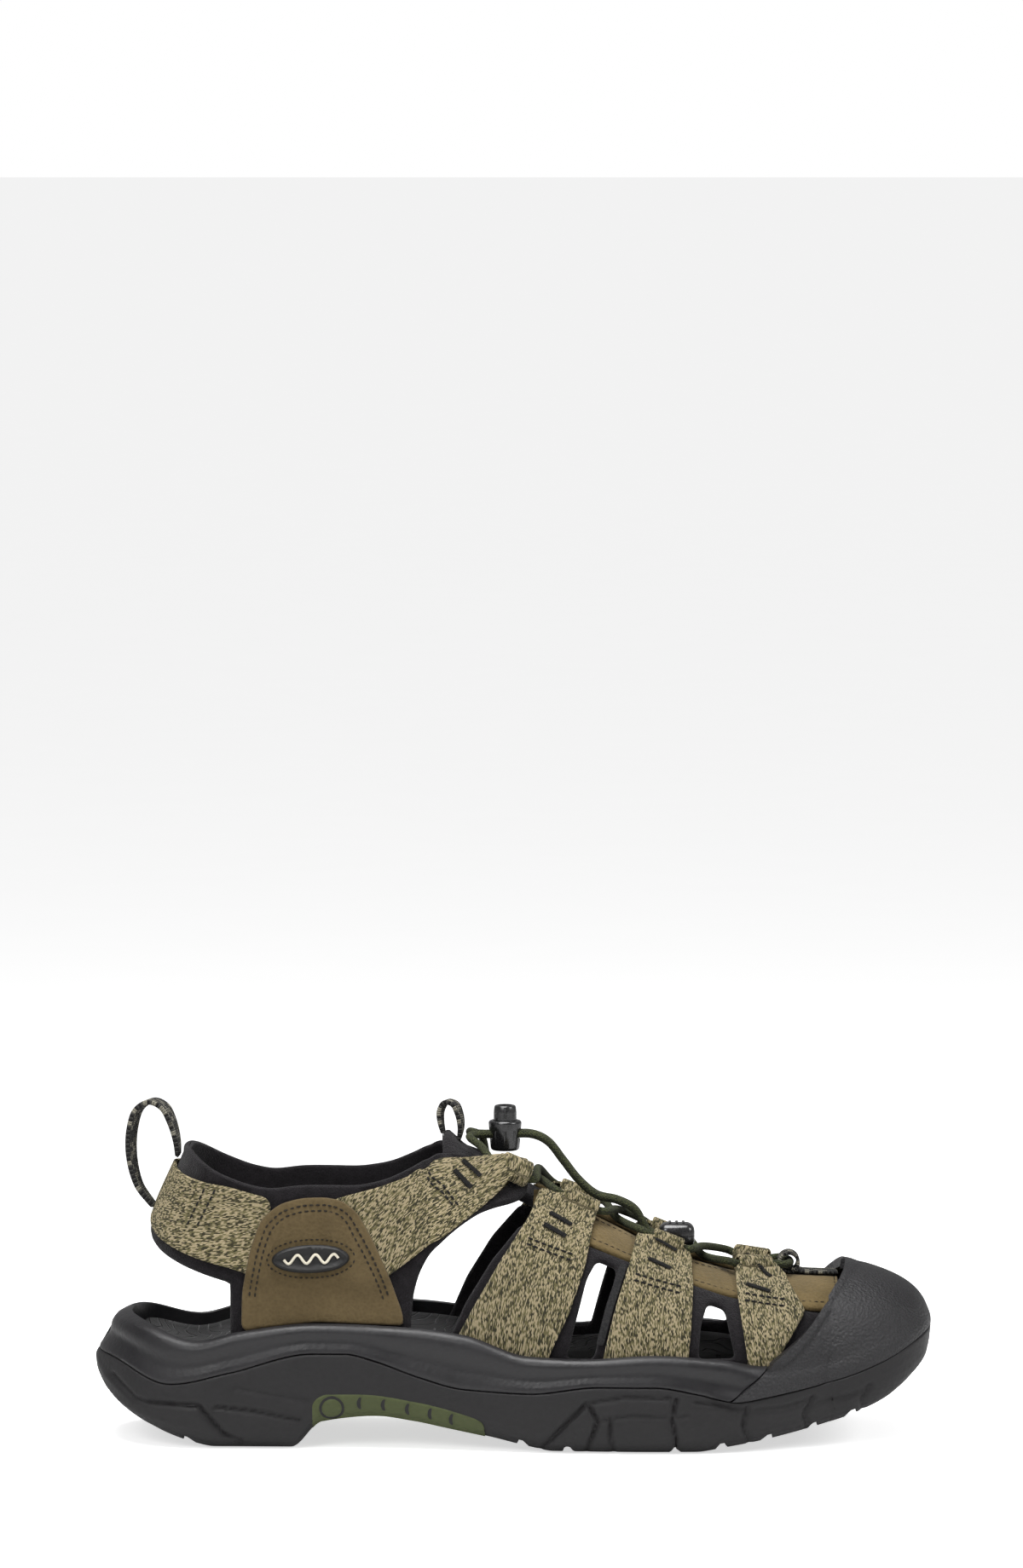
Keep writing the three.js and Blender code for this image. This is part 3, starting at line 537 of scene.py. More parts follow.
def keep_outside_throat(side, path, extra):
    """Lowers the part of a side view path ahead of the ankle to where the throat and an extra end."""
    limit = throat_height(side, path[:, 0], extra)
    path[:, 1] = np.where(path[:, 0] > ANKLE_AHEAD, np.minimum(path[:, 1], limit), path[:, 1])


def side_outline(side, corners, throat=None, radius=2.0, spacing=1.3):
    """A side view outline as girths and rises, held above the sole and outside the throat."""
    loop = outline_points(corners, spacing, radius)
    loop[:, 1] = np.maximum(loop[:, 1], 24.0)
    if throat is not None:
        keep_outside_throat(side, loop, throat)
    return thinned(to_upper(side, loop))


def heel_outline(corners, top, bottom, throat=None):
    """An outline that runs round the heel: corners go from its top behind to its bottom behind."""
    half = np.array([(0, top), *corners, (0, bottom)], float)
    dense = np.concatenate([np.linspace(a, b, 12, endpoint=False) for a, b in zip(half[1:-2], half[2:-1])])
    dense = np.concatenate([dense, half[-2:-1]])
    passes = 2 if throat is None else 14
    for _ in range(passes):
        dense[1:-1] = (dense[:-2] + dense[1:-1] + dense[2:]) / 3
    if throat is not None:
        keep_outside_throat(-1, dense, throat)
    sides = [to_upper(side, dense) for side in (-1, 1)]
    back = [[0, rise_of(1, HEEL_STATION, z)] for z in (top, bottom)]
    corners = np.concatenate([back[:1], sides[0], back[1:], sides[1][::-1]])
    return thinned(outline_points(corners, 1.5, 2.5))


def tube_points(path, radius, sides):
    """Rings of points round a path, carried along it without twist."""
    path = np.asarray(path, float)
    ahead = unit(np.gradient(path, axis=0))
    reference = np.array([0.0, 0.0, 1.0]) if abs(ahead[0][2]) < 0.9 else np.array([0.0, 1.0, 0.0])
    rings = []
    for place, direction in zip(path, ahead):
        reference = unit(reference - direction * (reference @ direction))
        sideways = np.cross(direction, reference)
        turns = np.arange(sides) * 2 * math.pi / sides
        across = np.cos(turns)[:, None] * sideways + np.sin(turns)[:, None] * reference
        rings.append(place + radius * across)
    return np.array(rings)


def tube_piece(name, path, radius, material, sides, **facts):
    """A round cord or wave along a path, closed at both ends."""
    rings = tube_points(path, radius, sides)
    count = len(rings)
    run = run_along(path)
    uv = np.stack(np.broadcast_arrays(run[:, None], np.arange(sides) / sides), -1).reshape(-1, 2)
    uv = np.concatenate([uv, [[0, 0], [run[-1], 0]]])
    points = np.concatenate([rings.reshape(-1, 3), [path[0], path[-1]]])
    first, last = count * sides, count * sides + 1
    faces = [list(face) for face in grid_faces(count, sides, closed=True)]
    faces += [[first, (k + 1) % sides, k] for k in range(sides)]
    faces += [[last, (count - 1) * sides + k, (count - 1) * sides + (k + 1) % sides] for k in range(sides)]
    return make_piece(name, points, faces, material, uv=uv, **facts)


def catmull(points, count):
    """A centripetal curve through points, with evenly spaced steps."""
    points = np.asarray(points, float)
    ends = np.concatenate([[2 * points[0] - points[1]], points, [2 * points[-1] - points[-2]]])
    fine = []
    for i in range(len(points) - 1):
        p0, p1, p2, p3 = ends[i : i + 4]
        d0, d1, d2 = (max(np.linalg.norm(b - a) ** 0.5, 1e-4) for a, b in ((p0, p1), (p1, p2), (p2, p3)))
        leave = ((p1 - p0) / d0 - (p2 - p0) / (d0 + d1) + (p2 - p1) / d1) * d1
        arrive = ((p2 - p1) / d1 - (p3 - p1) / (d1 + d2) + (p3 - p2) / d2) * d1
        t = np.linspace(0, 1, 24, endpoint=False)[:, None]
        fine.append(p1 + leave * t + (3 * (p2 - p1) - 2 * leave - arrive) * t**2
                    + (2 * (p1 - p2) + leave + arrive) * t**3)
    return even(np.concatenate([*fine, points[-1:]]), count)


# ------------------------------------------------------------------ materials


class Value:
    """A socket of a material's nodes, with arithmetic."""

    def __init__(self, maker, socket):
        self.maker = maker
        self.socket = socket

    def math(self, operation, *others):
        return self.maker.node("ShaderNodeMath", [self, *others], operation=operation)

    def __add__(self, other):
        return self.math("ADD", other)

    def __sub__(self, other):
        return self.math("SUBTRACT", other)

    def __rsub__(self, other):
        return self.maker.node("ShaderNodeMath", [other, self], operation="SUBTRACT")

    def __mul__(self, other):
        return self.math("MULTIPLY", other)

    def __truediv__(self, other):
        return self.math("DIVIDE", other)

    __radd__ = __add__
    __rmul__ = __mul__

    def floor(self):
        return self.math("FLOOR")

    def fraction(self):
        return self.math("FRACT")

    def wave(self):
        return self.math("SINE")

    def size(self):
        return self.math("ABSOLUTE")

    def between(self, low, high, start=0.0, end=1.0):
        """The value mapped from low..high to start..end and held there."""
        return self.maker.node("ShaderNodeMapRange", [self, low, high, start, end])


class Finish:
    """The nodes of one material."""

    def __init__(self, name, roughness=0.7, sheen=0.0, coat=0.0, specular=0.4, metallic=0.0):
        self.material = bpy.data.materials.new(name)
        self.material.use_nodes = True
        self.tree = self.material.node_tree
        self.shader = self.tree.nodes["Principled BSDF"]
        constants = {
            "Roughness": roughness, "Sheen Weight": sheen, "Sheen Roughness": 0.5, "Coat Weight": coat,
            "Coat Roughness": 0.12, "Specular IOR Level": specular, "Metallic": metallic,
        }
        for socket, value in constants.items():
            self.shader.inputs[socket].default_value = value

    def node(self, kind, inputs=(), output=0, **settings):
        made = self.tree.nodes.new(kind)
        for key, value in settings.items():
            setattr(made, key, value)
        items = inputs.items() if isinstance(inputs, dict) else enumerate(inputs)
        for socket, value in items:
            if isinstance(value, Value):
                self.tree.links.new(value.socket, made.inputs[socket])
            else:
                made.inputs[socket].default_value = value
        return Value(self, made.outputs[output])

    def scaled(self, vector, amount):
        return self.node("ShaderNodeVectorMath", {0: vector, "Scale": amount}, operation="SCALE")

    def parts(self, vector):
        """The three numbers of a vector."""
        split = self.node("ShaderNodeSeparateXYZ", [vector])
        return [Value(self, socket) for socket in split.socket.node.outputs]

    def place(self):
        """Object coordinates in millimetres."""
        return self.scaled(self.node("ShaderNodeTexCoord", output="Object"), 1000.0)

    def flat(self):
        """The piece's own flat coordinates in millimetres: along, then across."""
        return self.parts(self.node("ShaderNodeUVMap"))[:2]

    def point(self, x, y, z=0.0):
        return self.node("ShaderNodeCombineXYZ", [x, y, z])

    def noise(self, vector, scale, detail=2.0, roughness=0.5):
        inputs = {"Vector": vector, "Scale": scale, "Detail": detail, "Roughness": roughness}
        return self.node("ShaderNodeTexNoise", inputs)

    def cells(self, vector, scale):
        return self.node("ShaderNodeTexVoronoi", {"Vector": vector, "Scale": scale})

    def chance(self, x, y):
        """A random number for each pair of whole numbers."""
        return self.node("ShaderNodeTexWhiteNoise", {"Vector": self.point(x, y)}, noise_dimensions="2D")

    def mix(self, factor, a, b):
        inputs = {0: factor, 6: a, 7: b}
        return self.node("ShaderNodeMix", inputs, output=2, data_type="RGBA")

    def colour(self, value):
        self.tree.links.new(value.socket, self.shader.inputs["Base Color"])

    def rough(self, value):
        self.tree.links.new(value.socket, self.shader.inputs["Roughness"])

    def bump(self, height, distance, strength=1.0):
        """Relief: distance is in millimetres for a height of one."""
        inputs = {"Strength": strength, "Distance": distance / 1000, "Height": height}
        made = self.node("ShaderNodeBump", inputs)
        self.tree.links.new(made.socket, self.shader.inputs["Normal"])


def paint(red, green, blue):
    """A colour given as 8-bit sRGB."""
    return (*(((c / 255 + 0.055) / 1.055) ** 2.4 if c > 10 else c / 3295 for c in (red, green, blue)), 1)


def webbing_finish(name, pale, middle, dark, pale_share, middle_share, yarn, dash):
    """Heathered webbing: short slanted picks of mixed yarn in lengthwise lanes."""
    f = Finish(name, roughness=0.95, sheen=0.04, specular=0.12)
    along, across = f.flat()
    drift = f.noise(f.point(along, across), 0.3, 3) * 0.35
    lane = across / yarn + drift
    row = lane.floor()
    slant = (lane.fraction() - 0.5) * 0.5
    step = along / dash + f.chance(row, 3.0) + slant
    choice = f.chance(row, step.floor())
    patchy = f.noise(f.point(along * 0.22, across * 0.8), 0.5, 3)
    chosen = choice + patchy * 0.6 - 0.3
    tone = f.mix(chosen.between(pale_share - 0.06, pale_share + 0.06), paint(*pale), paint(*middle))
    darkest = pale_share + middle_share
    tone = f.mix(chosen.between(darkest - 0.04, darkest + 0.04), tone, paint(*dark))
    gap = (lane.fraction() * math.pi).wave()
    ribs = (step.fraction() * math.pi).wave()
    weave = gap * (0.5 + ribs * 0.5)
    fibre = f.noise(f.point(along * 0.6, across * 3), 2.2, 4)
    # Painted shade: the colour is darkened in the gaps between yarn lanes and between picks, following the
    # weave's relief, and varied by a random fibre tone.
    weave_shade_and_fibre_tone = weave.between(0.0, 0.6, 0.5, 1.0) * fibre.between(0.25, 0.75, 0.8, 1.15)
    f.colour(f.scaled(tone, weave_shade_and_fibre_tone))
    f.bump(weave * 0.8 + fibre * 0.3, 0.4)
    return f.material


def grain_finish(name, tone, light, size, relief, roughness, sheen=0.0, specular=0.35, grain_shade=0.5):
    """Rubber, foam or hide: mottled, with a grain of a size in millimetres and painted shade that follows the
    grain.
    """
    f = Finish(name, roughness=roughness, sheen=sheen, specular=specular)
    place = f.place()
    broad = f.noise(place, 0.045, 5, 0.6)
    fine = f.noise(place, 1 / size, 5, 0.65)
    cells = f.cells(place, 0.8 / size)
    grain = fine * 0.6 + cells * 0.5
    tint = f.mix(broad.between(0.3, 0.7), paint(*tone), paint(*light))
    # Painted shade: the colour is darkened in the grain's pits and lightened on its raised points, following
    # the grain that also makes the bump, by a share given at each call.
    shaded = grain.between(0.2, 0.9, 1 - grain_shade * 0.45, 1 + grain_shade * 0.35)
    f.colour(f.scaled(tint, shaded))
    f.rough(broad.between(0.3, 0.7, roughness - 0.1, min(1.0, roughness + 0.1)))
    f.bump(grain, relief)
    return f.material


def neoprene_finish():
    """Black stretch lining with a brushed, linty face."""
    f = Finish("Brushed neoprene", roughness=0.95, sheen=0.08, specular=0.1)
    place = f.place()
    lint = f.noise(place, 2.6, 6, 0.75)
    tuft = f.noise(place, 0.35, 4)
    cells = f.cells(place, 1.5)
    tint = f.mix(lint.between(0.35, 0.72), paint(9, 8, 9), paint(34, 31, 34))
    f.colour(f.scaled(tint, tuft.between(0.3, 0.7, 0.7, 1.2)))
    f.bump(lint * 0.7 + cells * 0.5, 0.45)
    return f.material


def braid_finish(name, light, dark):
    """A round braid: the flat coordinates run along in millimetres and once round."""
    f = Finish(name, roughness=0.8, sheen=0.03, specular=0.2)
    along, about = f.flat()
    turn = about * (2 * math.pi * 4)
    one = (along * 2.6 + turn).wave()
    other = (along * 2.6 - turn).wave()
    braid = one.size().math("MAXIMUM", other.size())
    fleck = f.noise(f.place(), 1.3, 3)
    tint = f.mix(fleck.between(0.35, 0.65), paint(*dark), paint(*light))
    # Painted shade: the colour is darkened in the braid's grooves and lightened on its crowns, following the
    # same braid that makes the bump.
    f.colour(f.scaled(tint, braid.between(0.3, 1.0, 0.45, 1.1)))
    f.bump(braid, 0.35)
    return f.material


def loop_finish():
    """Narrow grey webbing in a fine basket weave with pale flecks."""
    f = Finish("Grey loop webbing", roughness=0.9, sheen=0.03, specular=0.15)
    along, across = f.flat()
    cell = (along / 0.8).floor() + (across / 0.8).floor()
    pick = (cell * 0.5).fraction()
    fleck = f.chance((along / 1.6).floor(), (across / 0.8).floor())
    tint = f.mix(pick.between(0.2, 0.3), paint(50, 50, 48), paint(20, 19, 20))
    tint = f.mix(fleck.between(0.72, 0.74), tint, paint(112, 109, 98))
    f.colour(tint)
    relief = ((along / 0.8).fraction() * math.pi).wave() * ((across / 0.8).fraction() * math.pi).wave()
    f.bump(relief, 0.4)
    return f.material


def footbed_finish():
    """Foam moulded in winding ribs across the foot."""
    f = Finish("Moulded footbed foam", roughness=0.85, sheen=0.15, specular=0.25)
    place = f.place()
    bend = f.noise(place, 0.02, 2) * 26
    along = f.parts(place)[0]
    lines = ((along * 0.16 + bend) * 2.4).wave()
    ribs = lines.size().between(0.0, 0.35)
    fine = f.noise(place, 1.8, 4)
    f.colour(f.mix(fine.between(0.3, 0.7), paint(11, 10, 11), paint(24, 23, 24)))
    f.bump(ribs * 1.4 + fine * 0.25, 0.6)
    return f.material


def gloss_finish(name, tone, roughness, metallic=0.0, scuff=0.25):
    """Smooth plastic or metal with light scuffs."""
    f = Finish(name, roughness=roughness, coat=0.0 if metallic else 0.3, specular=0.5, metallic=metallic)
    place = f.place()
    marks = f.noise(place, 1.4, 6, 0.7)
    f.colour(f.mix(marks.between(0.4, 0.8), paint(*tone), paint(*(min(255, c + 14) for c in tone))))
    f.rough(marks.between(0.35, 0.75, roughness, roughness + scuff))
    f.bump(f.noise(place, 0.5, 3), 0.06)
    return f.material


HEATHER = webbing_finish(
    "Heather webbing", (163, 150, 119), (104, 98, 68), (54, 52, 38), 0.4, 0.32, yarn=0.36, dash=0.95
)
NEOPRENE = neoprene_finish()
NUBUCK = grain_finish(
    "Brown nubuck", (72, 61, 41), (84, 72, 50), 1.0, 0.28, 0.95, sheen=0.08, specular=0.08, grain_shade=0.4
)
THROAT_NUBUCK = grain_finish(
    "Olive nubuck", (78, 67, 44), (94, 80, 53), 0.9, 0.3, 0.95, sheen=0.08, specular=0.08, grain_shade=0.45
)
RUBBER = grain_finish("Outsole rubber", (17, 16, 17), (27, 26, 27), 1.5, 0.2, 0.6, specular=0.28, grain_shade=0.3)
TOE_RUBBER = grain_finish(
    "Grained toe rubber", (17, 16, 18), (26, 25, 27), 0.85, 0.62, 0.46, specular=0.34, grain_shade=0.6
)
FOAM = grain_finish("Midsole foam", (17, 16, 18), (26, 25, 27), 1.4, 0.12, 0.42, specular=0.34, grain_shade=0.22)
GREEN = grain_finish("Olive arch rubber", (52, 58, 31), (62, 68, 39), 1.2, 0.12, 0.6, specular=0.25, grain_shade=0.2)
BADGE_RUBBER = grain_finish(
    "Badge rubber", (15, 15, 15), (24, 23, 23), 1.0, 0.14, 0.5, specular=0.25, grain_shade=0.3
)
PALE_RUBBER = grain_finish("Pale badge rubber", (176, 170, 154), (196, 190, 172), 1.0, 0.1, 0.55, grain_shade=0.2)
BOARD = grain_finish("Insole board", (22, 21, 22), (30, 29, 30), 1.0, 0.12, 0.9, grain_shade=0.3)
TAG_WEAVE = braid_finish("Woven tag", (44, 43, 44), (20, 20, 22))
LOOP_WEAVE = loop_finish()
CORD = braid_finish("Olive braided cord", (56, 60, 34), (26, 29, 17))
FOOTBED = footbed_finish()
PLASTIC = gloss_finish("Black lock plastic", (9, 9, 10), 0.2)
STEEL = gloss_finish("Spring steel", (150, 150, 152), 0.3, 1.0, 0.15)
BLACK_THREAD = braid_finish("Black thread", (24, 23, 22), (10, 10, 10))
TAN_THREAD = braid_finish("Dark brown thread", (50, 42, 28), (28, 24, 17))

# ------------------------------------------------------------------ outlines in the side view

COLLAR = [
    (37, 103), (46.7, 96.5), (56, 92.8), (64.7, 91), (75, 92.5), (86, 92.5), (96, 92.3), (107, 94.5),
    (120, 100.5), (141, 112), (156, 104), (155.5, 86.6), (149.5, 84.8), (144, 83.9), (138, 82), (132, 78.2),
    (126.5, 73.8), (121, 68), (117.5, 61.5), (115.4, 54), (114.5, 44), (114.5, 24), (50.5, 24), (50.5, 58),
]
SIDE_LINING = [
    (125, 15), (127, 36), (134, 52), (143, 66.5), (153, 78), (176, 70), (203, 59), (226, 51.5), (249, 47),
    (264, 45), (264, 15),
]
REAR_WINDOW = [(169.5, 33), (176.5, 60), (180, 65.5), (187, 62.5), (179, 33)]
FRONT_WINDOW = [(215.7, 33), (216.7, 44), (219, 50.5), (225, 48.5), (228.6, 33)]
THROAT_LINE = smooth((156.5, 77.4), (176, 70.5), (203, 59.5), (226, 52), (249, 47.5), (268, 45.5))
HEEL_STRAP = [(49, 92), (65, 87.5), (65, 58), (54, 62)]
ANKLE_STRAP = [
    (86, 70), (86, 87), (90, 88.2), (112, 94), (143, 112), (158, 97), (150, 91.3), (107.7, 61.3), (98, 56),
    (86, 62),
]
MIDFOOT_STRAP = [
    (126, 15), (131.5, 40.3), (138.3, 52.8), (146.8, 67), (155.7, 80), (164, 100), (182, 90), (178.5, 79),
    (175.5, 62.6), (170.6, 48.8), (164, 34.6), (160, 15),
]
INSTEP_STRAP = [
    (179, 15), (183, 35.3), (186.5, 50), (191, 64), (197, 84), (211, 76), (213.5, 55), (213, 42),
    (212.3, 35.3), (212, 15),
]
TOE_STRAP = [
    (234, 15), (232.3, 33.4), (229.5, 50), (227, 72), (244, 70), (247, 55), (253.3, 45.8), (244, 34),
    (241, 15),
]
SIDE_PATCH = [
    (54.5, 41.2), (54.8, 55.2), (57.8, 70.2), (61.3, 80.2), (67.8, 85.8), (75.8, 87.9), (84.8, 88.2),
    (90.8, 86.8), (95.5, 83.2), (100.2, 74.2), (106.8, 60.6), (111.8, 47.7), (112.2, 43.2), (80.8, 44.3),
]
SIDE_TAG = [(180, 38), (182.7, 37.6), (186, 50), (190.2, 62.6), (187.6, 63.4), (183.2, 50.6)]
TOE_LINE = smooth((30.5, 240), (42, 254), (53, 263), (61, 269), (70, 272))
BADGE_CENTRE = (79.4, 66.6)
BADGE_TILT = 0.03
SLEEVES = {"ankle": (143.5, 153), "midfoot": (165.5, 178), "instep": (197.5, 208.5), "toe": (229, 241.5)}
HANDS = (("outer", -1), ("inner", 1))

# ------------------------------------------------------------------ the sole


def foot_line(bearing, out):
    """The last's widest line, moved out level."""
    station = HEEL_STATION + (TOE_STATION - HEEL_STATION) * np.clip(np.abs(bearing) - 1, 0, 1)
    rise = widest_level(station)
    along = last_point(bearing + SLOPE_STEP, rise) - last_point(bearing - SLOPE_STEP, rise)
    normal = np.cross(along, [0, 0, 1.0])
    side = np.where(bearing < 0, -1.0, 1.0)
    facing = np.where(np.abs(bearing) < 0.5, -normal[..., 0], normal[..., 1] * side)
    facing = np.where(np.abs(bearing) > 2.5, normal[..., 0], facing)
    normal = unit(normal) * np.where(facing < 0, -1.0, 1.0)[..., None]
    return last_point(bearing, rise) + normal * np.asarray(out, float)[..., None]


GROOVES = (24, 36, 154, 170, 208, 224, 240, 256, 270)


def tread_bottom(station):
    """The underside of the tread, with its grooves."""
    depth = np.zeros_like(station)
    for groove in GROOVES:
        depth = np.maximum(depth, np.clip(1.9 - np.abs(station - groove), 0, 1))
    return sole_bottom(station) + 2.2 * depth


def sole_rows(bearing):
    """The sole's outside at columns round it: seven points each, from the tread to the rim."""
    away = np.abs(bearing)
    heel = np.sin(np.clip(1 - away, 0, 1) * math.pi / 2) ** 2
    toe = np.where(away > 2, np.cos(np.clip(3 - away, 0, 1) * math.pi / 2) ** 2, 0)
    end = np.maximum(heel, toe)
    rows = []
    plan = [
        (RIM - 7, 5.5, 0, 0), (RIM - 2.5, 8, 2.5, 0.15), (RIM - 0.6, 10.5, 8, 0.35), (RIM, 7, None, 0.5),
        (RIM, 3, -3.2, 0.3), (RIM - 1.4, 0, -0.8, 0.1), (RIM - 3.4, 0, 0, 0),
    ]
    for number, (out, flare, rise, share) in enumerate(plan):
        point = foot_line(bearing, out + flare * heel)
        station = point[:, 0]
        rim = sole_rim(station)
        under = np.minimum(sole_bottom(station), rim - 2)
        height = rim - under
        if number < 3:
            point[:, 2] = under + np.minimum(rise, share * height) * (1 - end)
        elif number == 3:
            point[:, 2] = rim - share * height
        else:
            point[:, 2] = rim - np.minimum(-rise, share * height)
        rows.append(point)
    return np.stack(rows, 1)


def cut_corners(rows):
    """One round of corner cutting along each column, which keeps its ends."""
    near = rows[:, :-1] * 0.75 + rows[:, 1:] * 0.25
    far = rows[:, :-1] * 0.25 + rows[:, 1:] * 0.75
    inner = np.stack([near, far], 2).reshape(len(rows), -1, 3)
    return np.concatenate([rows[:, :1], inner, rows[:, -1:]], 1)


def wall_at(rows, levels):
    """Points of the wall at heights: levels has one row of heights for each column."""
    found = np.empty((*levels.shape, 3))
    for i, (column, wanted) in enumerate(zip(rows, levels)):
        height = np.maximum.accumulate(column[:, 2] + np.arange(len(column)) * 1e-6)
        for axis in range(2):
            found[i, :, axis] = np.interp(wanted, height, column[:, axis])
    found[:, :, 2] = levels
    return found


def ring_body(name, outer, inner, material, **facts):
    """A closed body from loops of points that meet across the middle: one loop for each column."""
    loops = np.concatenate([outer, inner[:, ::-1]], 1)
    count, size = loops.shape[:2]
    run = np.cumsum(np.linalg.norm(np.diff(loops, axis=0, prepend=loops[:1]), axis=-1), axis=0)
    uv = np.stack([run, np.broadcast_to(np.arange(size), run.shape)], -1).reshape(-1, 2)
    return make_piece(name, loops.reshape(-1, 3), capped_faces(count, size), material, uv=uv, **facts)


def ahead_of_heel(station):
    """The bearing of a station between the heel and the toe."""
    return 1 + (station - HEEL_STATION) / (TOE_STATION - HEEL_STATION)


def around(end):
    """Bearings from the back of the heel to one ahead, about a millimetre apart."""
    return np.concatenate([
        np.linspace(0, 1, 66, endpoint=False),
        np.linspace(1, min(2, end), int((min(2, end) - 1) * 300) + 2),
        np.linspace(2, end, int((end - 2) * 66) + 2)[1:] if end > 2 else [],
    ])


# Cuts in the outsole's side: each is a line of stations and heights, and a depth.
SIDE_CUTS = [
    ([(20.4, 15.9), (39.3, 15.3), (47.9, 5.8), (54.3, 2.7)], 1.5),
    ([(45.2, 15.0), (60, 13.4), (74.8, 10.4)], 1.3),
    ([(8, 24), (16, 17), (20.4, 15.9)], 1.2),
    ([(52, 22), (66, 19.4), (78, 17.6)], 0.8),
    ([(160.2, 1.2), (166, 7.4), (176.4, 18.0), (180.4, 11.9), (178, 5.5), (176.5, 1.0)], 1.6),
    ([(176.4, 18.0), (190, 20.5), (206, 20.0)], 1.1),
    ([(180.4, 11.9), (192, 13.8), (208, 13.2), (212, 14)], 0.9),
    ([(186, 0.5), (184.6, 7), (184.8, 13)], 1.3),
    ([(208, 19.8), (206.4, 12), (209, 1)], 1.5),
    ([(214.6, 18.6), (224, 17.6), (231.6, 15.8)], 1.0),
    ([(233, 16.4), (231.6, 10), (234, 3)], 1.4),
    ([(236, 15.5), (246, 15.8), (256, 18.2)], 0.9),
    ([(256.5, 18.8), (253.6, 13), (254.5, 7.5)], 1.4),
    ([(258, 17), (268, 18.6), (277, 21.8)], 0.9),
    ([(277, 22.6), (274, 17.5), (274.4, 13.2)], 1.3),
]


def side_cuts(points):
    """How deep the outsole's side is cut at points on it."""
    flat = points[..., [0, 2]].reshape(-1, 2)
    depth = np.zeros(len(flat))
    for line, deep in SIDE_CUTS:
        line = np.array(line, float)
        away = np.min([line_distance(flat, a, b) for a, b in zip(line[:-1], line[1:])], axis=0)
        depth = np.maximum(depth, deep * np.exp(-((away / 0.95) ** 2)))
    return depth.reshape(points.shape[:-1])


def outward(rows, amount):
    """Columns of points moved out level from the middle of the foot."""
    ahead = np.gradient(rows, axis=0)
    normal = unit(np.stack([ahead[..., 1], -ahead[..., 0], 0 * ahead[..., 0]], -1))
    middle = np.array([150.0, 0, 0])
    facing = np.sum(normal * (rows - middle) * [0.25, 1, 0], -1)
    normal = normal * np.where(facing < 0, -1.0, 1.0)[..., None]
    return rows + normal * np.asarray(amount)[..., None]


def outsole_columns(sign, away):
    """The outsole: its tread, its cut side, and a ledge under the midsole."""
    rows = cut_corners(sole_rows(sign * away))
    tread = tread_bottom(rows[:, 0, 0])
    middle = rows[:, 6, 0]
    seam = np.minimum(parting_line(middle), sole_rim(middle) - 2) - 0.15
    low = np.minimum(tread, seam - 1.5)
    shares = np.concatenate([[0, 0.02], np.linspace(0.05, 0.97, 30), [0.985, 1.0]])
    levels = low[:, None] + (seam - low)[:, None] * shares
    wall = wall_at(rows, levels)
    inset = np.where(shares > 0.99, 0.5, np.where(shares > 0.98, 0.12, 0))
    wall = outward(wall, -inset - side_cuts(wall))
    under = wall[:, :1].copy()
    under[:, 0, 1] *= UNDER_SHARE
    ledge = outward(wall[:, -1:], np.full((len(wall), 1), -2.4))
    base = ledge.copy()
    base[:, 0, 2] = np.minimum(low + 5, ledge[:, 0, 2] - 0.1)
    return np.concatenate([under, wall, ledge, base], 1)


def midsole_columns(sign, away):
    """The midsole: its hollowed side and rim, and the well that the footbed lies in."""
    rows = cut_corners(sole_rows(sign * away))
    middle = rows[:, 6, 0]
    rim = rows[:, -1, 2]
    seam = np.minimum(parting_line(middle), rim - 1.6) + 0.15
    shares = np.array([0, 0.03, 0.08, 0.18, 0.3, 0.42, 0.54, 0.66, 0.76, 0.84, 0.9, 0.94, 0.97, 1.0])
    levels = seam[:, None] + (rim - seam)[:, None] * shares
    wall = wall_at(rows, levels)
    inset = np.array([0.5, 0.12, *[0] * 12])
    sculpt = np.exp(-(((shares - 0.42) / 0.2) ** 2)) * 1.3
    wall = outward(wall, -inset - sculpt)
    well = foot_line(sign * away, np.full(len(away), WEB_OUT + 0.4))[:, None]
    top_in = well.copy()
    top_in[:, 0, 2] = rim - 0.5
    low_in = well.copy()
    board = board_level(well[:, 0, 0]) + 0.2
    low_in[:, 0, 2] = board
    keel = well.copy()
    keel[:, 0, 2] = np.minimum(board - 1, seam)
    heel_in = outward(wall[:, :1], np.full((len(wall), 1), -2.2))
    return np.concatenate([keel, heel_in, wall, top_in, low_in], 1)


whole = around(3)
ring_body(
    "Outsole_rubber", outsole_columns(-1, whole), outsole_columns(1, whole), RUBBER,
    stands_for=["outsole"], slot="rubber", angle=38,
)
rear = around(ahead_of_heel(MIDSOLE_END))
midsole = ring_body(
    "Midsole_foam", midsole_columns(-1, rear), midsole_columns(1, rear), FOAM,
    stands_for=["midsole"], slot="foam", angle=38,
)


def toe_edge(bearing):
    """The rise at which each column of the bumper reaches its upper edge."""
    rises = np.linspace(28, 92, 129)
    surface = skin(bearing[:, None], rises[None, :], np.full((len(bearing), len(rises)), 6.2))
    within = surface[:, :, 0] > TOE_LINE(surface[:, :, 2])
    last = np.where(within.any(1), len(rises) - 1 - np.argmax(within[:, ::-1], axis=1), 0)
    return rises[last]


def smooth_line(values, passes):
    """Values along a line, or its points, evened out with both ends kept."""
    values = values.copy()
    for _ in range(passes):
        values[1:-1] = (values[:-2] + 2 * values[1:-1] + values[2:]) / 4
    return values


